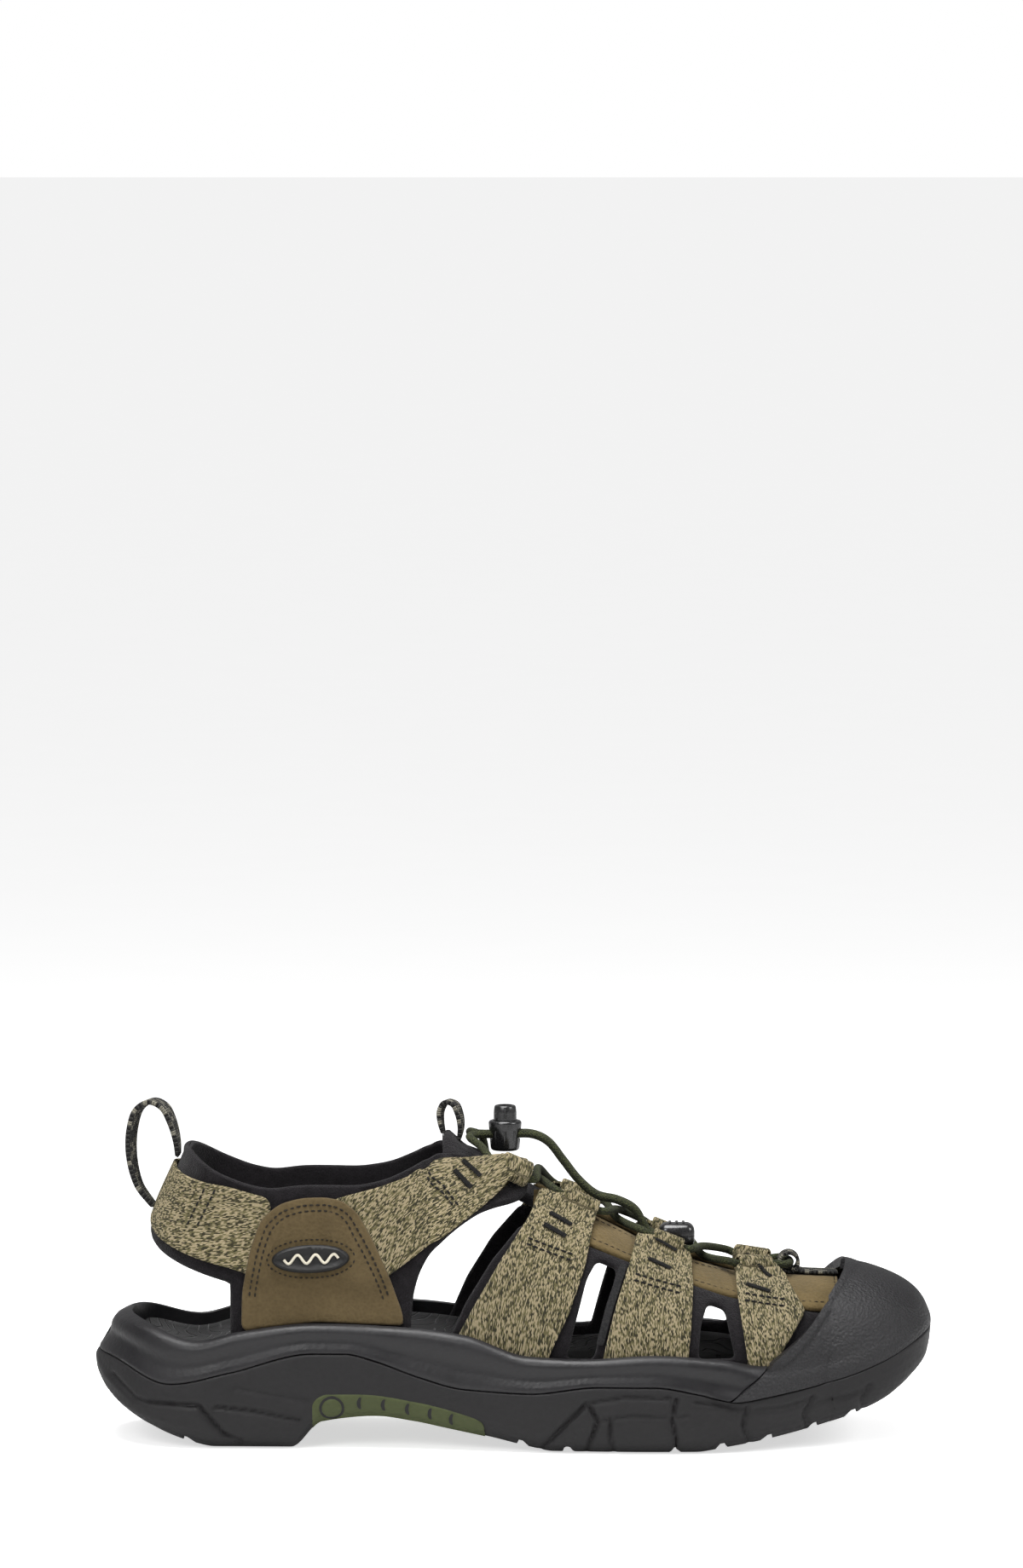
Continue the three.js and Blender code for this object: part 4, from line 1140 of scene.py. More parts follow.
def toe_bumper():
    """The rubber toe: the sole's wall below, and a cap over the last above."""
    half = np.linspace(ahead_of_heel(BUMPER_START), 3, 120)
    bearing = np.concatenate([-half, half[::-1][1:]])
    top = smooth_line(toe_edge(bearing), 4)
    rows = sole_rows(bearing)
    columns = []
    for i, place in enumerate(bearing):
        middle = rows[i, 4, 0]
        seam = min(parting_line(middle), rows[i, -1, 2] - 1.6) + 0.15
        wall_levels = np.linspace(seam, rows[i, 5, 2], 9)
        wall = wall_at(rows[i : i + 1], wall_levels[None])[0]
        rises = np.linspace(28, max(top[i], 29), 90)
        here, level = np.full(90, place), np.ones(90)
        steps = np.linalg.norm(np.diff(skin(here, rises, BUMPER_OUT * level), axis=0), axis=1)
        down = np.concatenate([np.cumsum(steps[::-1])[::-1], [0]])
        band = 0.5 * np.clip((5.4 - down) / 0.8, 0, 1) - 0.5 * np.exp(-(((down - 6.2) / 0.7) ** 2))
        tip = math.cos(min(1.0, 3 - abs(place)) * math.pi / 2) ** 2 if abs(place) > 2 else 0.0
        full = 3.4 * tip * np.exp(-(((rises - 46) / 13) ** 2))
        cap = skin(here, rises, BUMPER_OUT - 0.5 + band + full)
        cap = cap[cap[:, 2] > wall[-1, 2] + 0.6]
        below = skin(here, rises, (BUMPER_IN + 0.1) * level)
        below = below[below[:, 2] > seam - 4][::-1]
        outer = smooth_line(even(np.concatenate([wall, cap]), 64), 12)
        edge = outer[-1:] * 0.5 + below[:1] * 0.5
        columns.append(np.concatenate([outer, edge, even(below, 18)]))
    loops = np.array(columns)
    return make_piece(
        "Toe_bumper_rubber", loops.reshape(-1, 3), capped_faces(*loops.shape[:2]), TOE_RUBBER,
        stands_for=["toe_bumper"], slot="rubber", angle=42,
    )


bumper = toe_bumper()


def lean(piece):
    """Slants the joint of the toe bumper and the midsole, so that it runs back as it goes down."""
    points = np.array([vertex.co[:] for vertex in piece.data.vertices]) * 1000
    station = points[:, 0] + ORIGIN_STATION
    down = np.clip((parting_line(station) + JOINT_HEIGHT - points[:, 2]) / JOINT_HEIGHT, 0, 1)
    moved = station - JOINT_SLANT * down * np.exp(-(((station - JOINT_STATION) / JOINT_REACH) ** 2))
    side = np.sign(points[:, 1])
    width = [np.maximum(last_half_width(side, place), 1) for place in (moved, station)]
    points[:, 0] += moved - station
    points[:, 1] *= np.where(moved < station, width[0] / width[1], 1)
    points[:, 2] += parting_line(moved) - parting_line(station)
    piece.data.vertices.foreach_set("co", (points / 1000).ravel())
    piece.data.update()


for piece in (midsole, bumper):
    lean(piece)


ARCH_START, ARCH_END = 79.6, 141
arch_top = smooth(
    (79, 15.5), (81.5, 18.5), (85, 19.8), (96, 19.8), (117, 17), (133, 13), (139, 10.5), (141.2, 6.5)
)


def arch_insert_columns(sign, away):
    """The arch insert, over the sole's side and under it."""
    rows = cut_corners(sole_rows(sign * away))
    station = rows[:, 0, 0]
    low = sole_bottom(station) - 0.25
    top = arch_top(rows[:, 6, 0])
    shares = np.linspace(0, 1, 26)
    levels = low[:, None] + np.maximum(top - low, 0.4)[:, None] * shares
    wall = wall_at(rows, levels)
    edge = np.clip((1 - shares) / 0.12, 0, 1) ** 0.5
    ends = np.clip(np.minimum(rows[:, 6, 0] - ARCH_START, ARCH_END - rows[:, 6, 0]) / 1.5, 0, 1) ** 0.5
    pips = np.zeros(wall.shape[:2])
    for pip in (96, 104.5, 113, 121, 128.5):
        along, up = np.moveaxis(wall[:, :, [0, 2]] - [pip, float(arch_top(pip)) - 3.4], -1, 0)
        pips -= np.exp(-(((along - 0.12 * up**2) / 0.7) ** 2) - (up / 2.4) ** 4)
    disc = np.hypot(wall[:, :, 0] - 86.5, wall[:, :, 2] - 14.5)
    pips -= 0.8 * np.exp(-(((disc - 4.0) / 0.6) ** 2))
    wall = outward(wall, 0.55 * edge * ends[:, None] + pips - 0.1)
    under = wall[:, :1].copy()
    under[:, 0, 1] *= UNDER_SHARE
    back = outward(wall[:, -1:], np.full((len(wall), 1), -1.6))
    under_in = under.copy()
    under_in[:, 0, 2] += 0.9
    heel = wall[:, :1].copy()
    heel[:, 0, 2] += 0.9
    heel = outward(heel, np.full((len(wall), 1), -1.6))
    return np.concatenate([under, wall, back, heel, under_in], 1)


arch = ahead_of_heel(np.linspace(ARCH_START, ARCH_END, 150))
ring_body(
    "Arch_insert_rubber", arch_insert_columns(-1, arch), arch_insert_columns(1, arch), GREEN,
    stands_for=["arch_insert"], slot="green_rubber", angle=40,
)

# ------------------------------------------------------------------ the upper


def near_straps(flat, outlines):
    """How far flat points lie over straps beneath: 1 on a strap, and falling to 0 beside it."""
    over = np.zeros(len(flat))
    for outline in outlines:
        away = edge_distance(flat, [outline])
        over = np.maximum(over, np.where(inside(flat, [outline]), 1.0, np.clip(1 - away / 3.0, 0, 1) ** 2))
    return over


def rolled_edge(flat, distance):
    """The bulge of an edge binding along an outline."""
    return 0.7 * np.exp(-(((distance - 1.5) / 1.3) ** 2)) - 0.35 * np.exp(-(((distance - 3.9) / 0.6) ** 2))


collar = shell_piece(
    "Collar_neoprene", [heel_outline(COLLAR, 102.8, 73.3, throat=LINING_CLEAR)], 0.0, LINING,
    on_upper, NEOPRENE, edge=1.1, spacing=3.2, relief=rolled_edge, stands_for=["collar_lining"],
    slot="neoprene",
)

shell_piece(
    "Heel_strap_webbing", [heel_outline(HEEL_STRAP, 96.7, 77.0)], LINING + GAP, WEB_OUT, on_upper, HEATHER,
    edge=0.7, stands_for=["heel_strap"], slot="webbing",
)

# Each strap: its outline, and two points that its weave runs between.
STRAP_PLANS = {
    "ankle": (ANKLE_STRAP, (86, 74), (150, 101)),
    "midfoot": (MIDFOOT_STRAP, (143, 20), (170, 88)),
    "instep": (INSTEP_STRAP, (196, 20), (203, 78)),
    "toe": (TOE_STRAP, (238, 20), (238, 68)),
}


def sleeve_line(side, name):
    rear, front = SLEEVES[name]
    return sleeve_point(side, rear), sleeve_point(side, front)


def strap_lift(side, name):
    """How a strap rises to run over its lace sleeve."""
    start, end = sleeve_line(side, name)
    height, reach = (6.8, 13.0) if name == "ankle" else (3.4, 6.5)

    def lift(flat, distance=None):
        away = line_distance(on_upper(flat, np.full(len(flat), 3.3)), start, end)
        return height * np.clip(1 - (away - 3.0) / reach, 0, 1) ** 2

    return lift


def sleeve_piece(name, side, key):
    """The strap's folded end, a short tube round the lace."""
    start, end = sleeve_line(side, key)
    ahead = unit(end - start)
    up = unit(np.cross(ahead, [0, 1.0, 0]) * np.sign(np.cross(ahead, [0, 1.0, 0])[2]))
    across = np.cross(ahead, up)
    turns = np.linspace(0, 2 * math.pi, 28, endpoint=False)
    ring = np.cos(turns)[:, None] * across + np.sin(turns)[:, None] * up
    run = np.linalg.norm(end - start)
    steps = [(0.0, 2.75), (0.08, 3.1), (0.35, 3.35), (0.9, 3.42)]
    steps += [(t, 3.42) for t in np.linspace(2, run - 2, 6)]
    steps += [(run - 0.9, 3.42), (run - 0.35, 3.35), (run - 0.08, 3.1), (run, 2.75)]
    steps += [(run - 0.1, 2.3), (run / 2, 2.2), (0.1, 2.3)]
    full = 1.4 if key == "ankle" else 1.0
    start = start + up * (full - 1) * 3.2
    points = np.array([start + ahead * t + ring * radius * full for t, radius in steps])
    count = len(steps)
    uv = np.array([[(turn * 3.4, t) for turn in turns] for t, _ in steps]).reshape(-1, 2)
    faces = [list(face) for face in grid_faces(count, 28, closed=True)]
    faces += [[(count - 1) * 28 + k, (count - 1) * 28 + (k + 1) % 28, (k + 1) % 28, k] for k in range(28)]
    return make_piece(name, points.reshape(-1, 3), faces, HEATHER, uv=uv, slot="webbing")


def lining_relief(flat, distance):
    return rolled_edge(flat, distance) * 0.5


def patch_lift(side, outline):
    """How the patch rises over the ankle strap's outline and the heel strap's end beneath it."""
    heel_strap_end = to_upper(side, [(40, 80), (40, 95), (65, 87.5), (65, 58), (54, 62)])

    def lift(flat):
        return 1.7 * near_straps(flat, [outline, heel_strap_end])

    return lift


def patch_relief(lift):
    def relief(flat, distance):
        return lift(flat) - 0.35 * np.exp(-(((distance - 3.4) / 0.7) ** 2))

    return relief


patches = {}
for hand, side in HANDS:
    lining = side_outline(side, SIDE_LINING, throat=LINING_CLEAR)
    windows = [side_outline(side, window, spacing=1.0) for window in (REAR_WINDOW, FRONT_WINDOW)]
    shell_piece(
        f"Side_lining_{hand}_neoprene", [lining, *windows], 0.0, LINING, on_upper, NEOPRENE, edge=1.0,
        stands_for=[f"side_lining_{hand}"], slot="neoprene", relief=lining_relief,
    )
    for key, (corners, start, end) in STRAP_PLANS.items():
        outline = side_outline(side, corners, throat=STRAP_CLEAR, radius=1.2)
        if key == "ankle":
            lift = patch_lift(side, outline)
        title = f"{key.capitalize()}_strap_{hand}"
        shell_piece(
            f"{title}_webbing", [outline], LINING + GAP, WEB_OUT, on_upper, HEATHER, edge=0.7,
            relief=strap_lift(side, key), stands_for=[f"{key}_strap_{hand}"], slot="webbing",
            turn=(to_upper(side, [start])[0], to_upper(side, [end])[0]),
        )
        sleeve_piece(f"{title}_sleeve", side, key)

    patch = side_outline(side, SIDE_PATCH, radius=3.0)
    patches[side] = patch, lift
    shell_piece(
        f"Side_patch_{hand}_nubuck", [patch], LINING + GAP, LINING + GAP + PATCH, on_upper, NUBUCK, edge=0.6,
        spacing=2.0, relief=patch_relief(lift), drape=True, stands_for=[f"side_patch_{hand}"], slot="nubuck",
    )


def throat_panel_outline():
    """The panel round the throat, in plan: out along one side, over the toes, and back along the throat."""
    stations = np.linspace(157, 262, 74)
    beyond = np.linspace(263, 268.5, 5)

    def edge(side, station):
        return float(section_half(side, np.array(station), THROAT_LINE(station)))

    def tip(side, station):
        share = max(0.0, 1 - ((station - TOE_STATION) / TOE_REACH / 0.62) ** 2)
        return edge(side, TOE_STATION) * math.sqrt(share)

    outer = [(s, -edge(-1, s)) for s in stations] + [(s, -tip(-1, s)) for s in beyond]
    inner = [(s, tip(1, s)) for s in beyond[::-1]] + [(s, edge(1, s)) for s in stations[::-1]]
    slot_out = [(s, float(throat_half_width(s)) - 0.5) for s in np.linspace(157.5, 244.5, 64)]
    slot_back = [(s, -y) for s, y in slot_out[::-1]]
    return thinned(np.array([*outer, *inner, *slot_out, *slot_back]), 0.25)


def panel_relief(flat, distance):
    """The throat panel's edge, rolled over a sunk seam."""
    return 0.45 * np.exp(-(((distance - 1.3) / 1.0) ** 2)) - 0.3 * np.exp(-(((distance - 3.3) / 0.5) ** 2))


shell_piece(
    "Throat_panel_nubuck", [throat_panel_outline()], 0.0, LINING, on_crown, THROAT_NUBUCK,
    edge=0.9, spacing=2.2, relief=panel_relief, stands_for=["throat_panel"], slot="nubuck",
)


def tongue_outline():
    stations = np.linspace(126.5, 256, 60)
    half = [max(9.0, float(throat_half_width(s)) + 5) for s in stations]
    path = [(s, -h) for s, h in zip(stations, half)] + [(s, h) for s, h in zip(stations[::-1], half[::-1])]
    return outline_points(path, 1.8, 4.0)


def tongue_relief(flat, distance):
    """Lengthwise quilting, and a thicker end at the ankle."""
    quilt = 0.35 * np.cos(flat[:, 1] * 2 * math.pi / 7.5) - 0.35
    middle = np.clip((13 - np.abs(flat[:, 1])) / 5, 0, 1)
    rolled_end = 1.1 * np.exp(-(((flat[:, 0] - 128.5) / 2.6) ** 2)) * middle
    return np.where(distance > 2.5, quilt * np.clip((distance - 2.5) / 3, 0, 1), 0) - 0.2 + rolled_end


tongue = shell_piece(
    "Tongue_neoprene", [tongue_outline()], -GAP - TONGUE, -GAP, on_crown, NEOPRENE, edge=1.2, spacing=2.6,
    relief=tongue_relief, stands_for=["tongue"], slot="neoprene",
)


def footbed():
    """The moulded footbed, dished, with a rolled edge."""
    bearing = around(3)
    plan = ((0.0, None), (0.4, 2.6), (0.7, 2.2), (0.86, 1.2), (0.95, 0.3), (0.985, 0.5), (0.985, None))
    columns = []
    for sign in (-1, 1):
        edge = last_point(sign * bearing, np.full(len(bearing), 30.0))
        station = edge[:, 0]
        bottom = board_level(station) + 2.3
        top = np.maximum(np.minimum(sole_rim(np.minimum(station, 240)) - 3.5, 41), bottom + 4)
        column = []
        for share, depth in plan:
            point = edge.copy()
            point[:, 1] *= share
            point[:, 2] = bottom if depth is None else top - depth
            column.append(point)
        centre = column[1].copy()
        centre[:, 1] *= 0.02
        column[0] = centre
        columns.append(np.stack(column, 1)[:, ::-1])
    return ring_body("Footbed_foam", *columns, FOOTBED, stands_for=["footbed"], slot="footbed_foam", angle=45)


footbed()


def badge_ring(length, height):
    """A flattened ellipse round the badge's centre, tilted with it."""
    turns = np.arange(64) * 2 * math.pi / 64
    along = np.sign(np.cos(turns)) * np.abs(np.cos(turns)) ** 0.9 * length / 2
    up = np.sin(turns) * height / 2 + along * BADGE_TILT
    return np.stack([BADGE_CENTRE[0] + along, BADGE_CENTRE[1] + up], -1)


def badge_relief(side):
    """A raised lip round a sunk, rippled face."""
    centre = to_upper(side, [BADGE_CENTRE])[0]

    def relief(flat, distance):
        away = flat - centre
        lip = 0.45 * np.exp(-(((distance - 0.9) / 0.55) ** 2))
        waves = np.clip(np.sin((away[:, 0] + 0.9 * np.abs(away[:, 1])) * 2 * math.pi / 4.4), -0.2, 0.6)
        sunk = 0.45 * np.clip((distance - 1.6) / 0.5, 0, 1)
        return lip - sunk + 0.4 * waves * np.clip((distance - 2.2) / 0.5, 0, 1)

    return relief


def badge_wave(side, hand):
    """A pale raised wave along the badge."""
    steps = np.linspace(-9.6, 9.6, 90)
    swing = 1.5 * np.sin(steps * 2 * math.pi / 6.4)
    path = np.stack([BADGE_CENTRE[0] + steps, BADGE_CENTRE[1] + swing + BADGE_TILT * steps], -1)
    line = on_upper(to_upper(side, path), np.full(90, PATCH_OUT + GAP + 1.75))
    tube_piece(f"Badge_wave_{hand}", line, 0.5, PALE_RUBBER, sides=10, slot="badge_rubber")


for hand, side in HANDS:
    lens = to_upper(side, badge_ring(27.8, 9.9))
    shell_piece(
        f"Badge_{hand}_rubber", [lens], PATCH_OUT + GAP, PATCH_OUT + GAP + 2.0, on_upper, BADGE_RUBBER,
        edge=0.9, spacing=0.7, relief=badge_relief(side), stands_for=[f"badge_{hand}"], slot="badge_rubber",
    )
for hand, side in HANDS:
    badge_wave(side, hand)

shell_piece(
    "Side_tag_weave", [side_outline(-1, SIDE_TAG, radius=0.6, spacing=0.8)], LINING + GAP, LINING + GAP + 0.8,
    on_upper, TAG_WEAVE, edge=0.35, spacing=1.4, stands_for=["side_tag"], slot="woven_tag",
)

# ------------------------------------------------------------------ the loops


def loop_strip(name, path, width, thickness, node, body, twist):
    """A webbing loop in the side view's plane, turned by its twist at the top."""
    line = catmull([(s, 0, z) for s, z in path], 90)
    across = (edge_steps(9, width, 0.6) - 0.5) * width
    run = np.linspace(0, 1, len(line))
    turned = math.radians(twist) * np.sin(run * math.pi) ** 0.8
    sideways = np.stack([np.sin(turned), np.cos(turned), 0 * turned], -1)
    middle = line[:, None, :] + across[None, :, None] * sideways[:, None, :]
    return sheet_piece(
        name, middle, thickness / 2, LOOP_WEAVE, edge=0.6, stands_for=[node], slot="loop_webbing", body=body
    )


HEEL_PULL = [
    (31.0, 99.2), (30.6, 104.5), (29, 111), (26, 117.0), (21.5, 119.0), (17, 116.3), (14.6, 109), (14.4, 99),
    (16.9, 89), (20.6, 83.6), (22.4, 81.4),
]
TONGUE_PULL = [
    (125.7, 107.6), (124.8, 111.6), (124.8, 115.6), (126.7, 118.7), (129.6, 118.0), (131.3, 114.6),
    (132.0, 109.8), (131.3, 105.2),
]
loop_strip("Heel_pull_webbing", HEEL_PULL, 9, 1.8, "heel_loop", "heel_pull", 17)
loop_strip("Tongue_pull_webbing", TONGUE_PULL, 6, 1.6, "tongue_loop", "tongue_pull", 20)

eye_height = float(ridge(EYE_STATION)) + LINING + GAP + EYE_RADIUS


def toe_loop():
    """The small loop at the toe end of the throat: a strip that folds back over the lace."""
    turns = np.linspace(-0.42 * math.pi, 1.32 * math.pi, 22)
    fold = [(EYE_STATION + 3.4 * math.sin(turn), eye_height + 3.4 * math.cos(turn)) for turn in turns[::-1]]
    flat = [(s, float(crown(s, 0, 3.3)[2])) for s in (255, 259, 263, 266.5)]
    path = [(s, z) for s, z in fold if z > flat[0][1] - 0.4] + flat
    line = resample([(s, 0, z) for s, z in path], 60)
    across = (edge_steps(9, 9, 0.6) - 0.5) * 9
    middle = line[:, None, :] + across[None, :, None] * np.array([0, 1.0, 0])
    sheet_piece(
        "Toe_loop_webbing", middle, 0.6, LOOP_WEAVE, edge=0.5, stands_for=["toe_loop"], slot="loop_webbing"
    )


toe_loop()

# ------------------------------------------------------------------ the lace


def lace_half(side):
    """One half of the lace, from the toe eye to the clip."""
    clip_z = float(ridge(CLIP_STATION)) + CLIP_RISE

    def cross(station, over):
        return (station, 0, float(ridge(station)) + (6.6 if over else 3.3))

    def through(hand, name):
        rear, front = SLEEVES[name]
        start, end = sleeve_point(hand, front), sleeve_point(hand, rear)
        ahead = unit(start - end) * 2.8
        rise = np.array([0, 0, LACE_RISE])
        return [start + ahead + rise, start, (start + end) / 2, end, end - ahead + rise]

    beside = side * CORD_SPACING / 2
    return [
        (EYE_STATION, side * 5, eye_height),
        (EYE_STATION - 2.6, side * 9.4, eye_height + 0.2),
        *through(side, "toe"),
        cross(218.5, side > 0),
        *through(-side, "instep"),
        cross(188, side < 0),
        *through(side, "midfoot"),
        cross(159.5, side > 0),
        *through(-side, "ankle"),
        (139.2, -side * 15.2, CORD_Z - 2.6),
        (135.6, -side * 10.5, CORD_Z - 0.4),
        (135.4, -side * 5, CORD_Z),
        (138.6, -beside, CORD_Z),
        (LOCK_STATION, -beside, CORD_Z),
        (157.5, -beside, CORD_Z),
        (163, -beside, CORD_Z - 2.6),
        (168.5, -beside, CORD_Z - 9.4),
        (174, -beside, CORD_Z - 16.4),
        (180.5, -beside, CORD_Z - 21.8),
        (188, -beside, float(ridge(188)) + 10),
        (194, -beside, float(ridge(194)) + 10),
        (199, -beside, clip_z + 1.4),
        (CLIP_STATION - 5.6, -beside, clip_z),
        (CLIP_STATION, -beside, clip_z),
    ]


lace_route = catmull([*lace_half(-1)[::-1], *lace_half(1)], 900)
lace = tube_piece(
    "Elastic_lace", lace_route, LACE_RADIUS, CORD, sides=14, stands_for=["lace"], slot="elastic_cord"
)

# ------------------------------------------------------------------ stitching


def stitch_shape():
    """A short thread lying along X, one long, sunk at both ends."""
    sides = 6
    stations = [(-0.5, 0.15, -0.5), (-0.38, 0.75, 0.0), (0.0, 1.0, 0.25)]
    stations += [(0.38, 0.75, 0.0), (0.5, 0.15, -0.5)]
    turns = np.arange(sides) * 2 * math.pi / sides
    rings = [[(x, math.cos(t) * r, math.sin(t) * r + lift) for t in turns] for x, r, lift in stations]
    return np.array(rings).reshape(-1, 3), capped_faces(len(stations), sides)


STITCH_POINTS, STITCH_FACES = stitch_shape()


def threads(name, spans, radius, material):
    """Stitches as one piece: each span is a start, an end and a direction outwards."""
    points, faces, uv = [], [], []
    for start, end, out in spans:
        run = end - start
        length = np.linalg.norm(run)
        ahead = run / length
        up = unit(out - ahead * (out @ ahead))
        across = np.cross(up, ahead)
        base = len(points) * len(STITCH_POINTS)
        local = STITCH_POINTS * [length, radius, radius]
        points.append((start + end) / 2 + local[:, :1] * ahead + local[:, 1:2] * across + local[:, 2:] * up)
        faces += [[corner + base for corner in face] for face in STITCH_FACES]
        uv.append(np.stack([local[:, 0] + base, local[:, 1] / radius], -1))
    return make_piece(name, np.concatenate(points), faces, material, uv=np.concatenate(uv))


def row_spans(path, place, height, pitch=2.5, length=1.9):
    """The spans of a stitch row that follows a flat path at a distance out from the last."""
    path = np.asarray(path, float)
    legs = [np.linspace(a, b, 12, endpoint=False) for a, b in zip(path[:-1], path[1:])]
    fine = np.concatenate([*legs, path[-1:]])
    level = np.broadcast_to(height(fine) if callable(height) else height, len(fine))
    line = place(fine, level)
    above = place(fine, level + 1)
    run = run_along(line)
    spans = []
    for start in np.arange(pitch * 0.4, run[-1] - length, pitch):
        ends = [at_marks(line, run, mark) for mark in (start, start + length)]
        spans.append((*ends, at_marks(above - line, run, start)))
    return spans


def inset_outline(loop, distance):
    """An outline moved inwards."""
    tangent = unit(np.roll(loop, -2, axis=0) - np.roll(loop, 2, axis=0))
    normal = np.stack([-tangent[:, 1], tangent[:, 0]], -1)
    turn = 1 if inside(loop[:1] + normal[:1] * 0.3, [loop])[0] else -1
    moved = loop + normal * distance * turn
    keep = inside(moved, [loop]) & (edge_distance(moved, [loop]) > distance * 0.93)
    return moved[keep]


# Each strap: where its thread bars run across, and the stitch line further down, as stations and heights.
STRAP_SEAMS = {
    "ankle": [((129.0, 98.8), (138.4, 89.6)), ((120.6, 96.2), (130.9, 84.2))],
    "midfoot": [((159.8, 79.8), (171.6, 73.2)), ((154.5, 73.0), (173.2, 65.8))],
    "instep": [((195.6, 66.4), (208.4, 60.8)), ((191.8, 59.6), (209.8, 54.0))],
    "toe": [((230.8, 56.2), (244.0, 52.6)), ((230.8, 51.0), (247.0, 48.4))],
}


def bar_spans(side, start, end, height):
    """A bar of close stitches from a start to an end, each lying across it."""
    width, pitch = 2.1, 0.5
    count = int(np.hypot(*(end - start)) / pitch)
    run = to_upper(side, np.linspace(start, end, count))
    middle = on_upper(run, height(run) + 0.35)
    out = on_upper(run, height(run) + 1.35) - middle
    across = unit(np.cross(np.gradient(middle, axis=0), out))
    return [(m - a * width / 2, m + a * width / 2, o) for m, a, o in zip(middle, across, out)]


for hand, side in HANDS:
    black, tan = [], []
    for key, (bars, line) in STRAP_SEAMS.items():
        lift = strap_lift(side, key)

        def over(flat, lift=lift):
            return WEB_OUT + 0.2 + lift(flat)

        start, end = np.array(bars, float)
        down = unit(np.array([-(end - start)[1], (end - start)[0]]))
        for shift in (-2.7, 0.8):
            near = start * 0.8 + end * 0.2 + down * shift
            far = end * 0.8 + start * 0.2 + down * shift
            black += bar_spans(side, near, far, over)
        black += row_spans(to_upper(side, line), on_upper, over)
        black += row_spans(to_upper(side, np.array(line) - [0.4, 1.7]), on_upper, over)
    threads(f"Strap_stitching_{hand}", black, 0.42, BLACK_THREAD)
    patch, lift = patches[side]

    def patch_top(flat, lift=lift):
        return LINING + GAP + PATCH + lift(flat) - 0.2

    for distance in (2.6, 4.6):
        tan += row_spans(inset_outline(patch, distance), on_upper, patch_top, pitch=2.3, length=1.7)
    ring = to_upper(side, badge_ring(31.4, 13.4))
    tan += row_spans(np.concatenate([ring, ring[:1]]), on_upper, patch_top, pitch=1.9, length=1.4)
    tan = [span for span in tan if min(span[0][2], span[1][2]) > STITCHES_LOW]
    threads(f"Patch_stitching_{hand}", tan, 0.38, TAN_THREAD)

seam = []
for side in (-1, 1):
    for shift in (0, 3.0):
        path = to_upper(side, [(43.4 + shift, 91.6), (36.8 + shift, 76.5)])
        seam += row_spans(path, on_upper, WEB_OUT + 0.05)
threads("Heel_strap_stitching", seam, 0.42, BLACK_THREAD)

panel_edge = inset_outline(throat_panel_outline(), 2.6)
panel_seam = row_spans(panel_edge, on_crown, LINING - 0.1, pitch=2.3, length=1.7)
threads("Throat_stitching", panel_seam, 0.26, TAN_THREAD)

# ------------------------------------------------------------------ the cord lock and the cord clip


def mm(*sizes):
    return tuple(size / 1000 for size in sizes)


def at_station(station, y, z):
    return mm(station - ORIGIN_STATION, y, z)


def added(name):
    """The primitive just added, with its size and place put into its mesh."""
    piece = bpy.context.active_object
    active(piece)
    bpy.ops.object.transform_apply(location=True, rotation=True, scale=True)
    piece.name = name
    return piece


def tube_block(name, radius, bottom, top, station, y=0.0, sides=72, taper=1.0):
    bpy.ops.mesh.primitive_cone_add(
        vertices=sides, radius1=radius / 1000, radius2=radius * taper / 1000, depth=(top - bottom) / 1000,
        location=at_station(station, y, (top + bottom) / 2),
    )
    return added(name)


def bar(name, radius, station, y, z, length):
    bpy.ops.mesh.primitive_cylinder_add(
        vertices=24, radius=radius / 1000, depth=length / 1000, location=at_station(station, y, z),
        rotation=(0, math.pi / 2, 0),
    )
    return added(name)


def block(name, station, y, z, size):
    bpy.ops.mesh.primitive_cube_add(size=1, location=at_station(station, y, z), scale=mm(*size))
    return added(name)


def applied(piece, kind, **settings):
    active(piece)
    modifier = piece.modifiers.new(kind, kind)
    for key, value in settings.items():
        setattr(modifier, key, value)
    bpy.ops.object.modifier_apply(modifier=modifier.name)


def combine(piece, other, operation):
    applied(piece, "BOOLEAN", object=other, operation=operation, solver="EXACT")
    bpy.data.objects.remove(other)


def soften(piece, width, segments=3):
    corner = math.radians(40)
    applied(piece, "BEVEL", width=width / 1000, segments=segments, limit_method="ANGLE", angle_limit=corner)


def complete(piece, node, body):
    """The finish, the body and the CAD node of a hard plastic piece."""
    piece.data.materials.clear()
    piece.data.materials.append(PLASTIC)
    shade(piece, 40)
    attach(piece, body)
    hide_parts(node)


LOCK_TOP = LOCK_BASE + 10.8
CORD_HOLE = LACE_RADIUS + 0.3
SLOT = CORD_SPACING / 2 + CORD_HOLE
STEM = SLOT + 0.65


def lock_barrel():
    """The lock's outer body: a grooved cup with a slot for both cords."""
    piece = tube_block("Cord_lock_barrel", 5.1, LOCK_BASE, LOCK_TOP, LOCK_STATION, taper=1.17)
    soften(piece, 1.1, 5)
    bore = tube_block("bore", STEM + GAP, LOCK_BASE + 0.9, LOCK_TOP + 2, LOCK_STATION)
    combine(piece, bore, "DIFFERENCE")
    for turn in range(10):
        angle = (turn + 0.5) * math.pi / 5
        groove = tube_block(
            "groove", 0.5, LOCK_BASE + 1.4, LOCK_TOP - 3.4, LOCK_STATION + 5.75 * math.cos(angle),
            5.75 * math.sin(angle), 12,
        )
        combine(piece, groove, "DIFFERENCE")
    hole = block("hole", LOCK_STATION, 0, CORD_Z, (20, 2 * SLOT, 2 * CORD_HOLE))
    soften(hole, 1.2, 5)
    combine(piece, hole, "DIFFERENCE")
    complete(piece, "lock_barrel", "cord_lock")


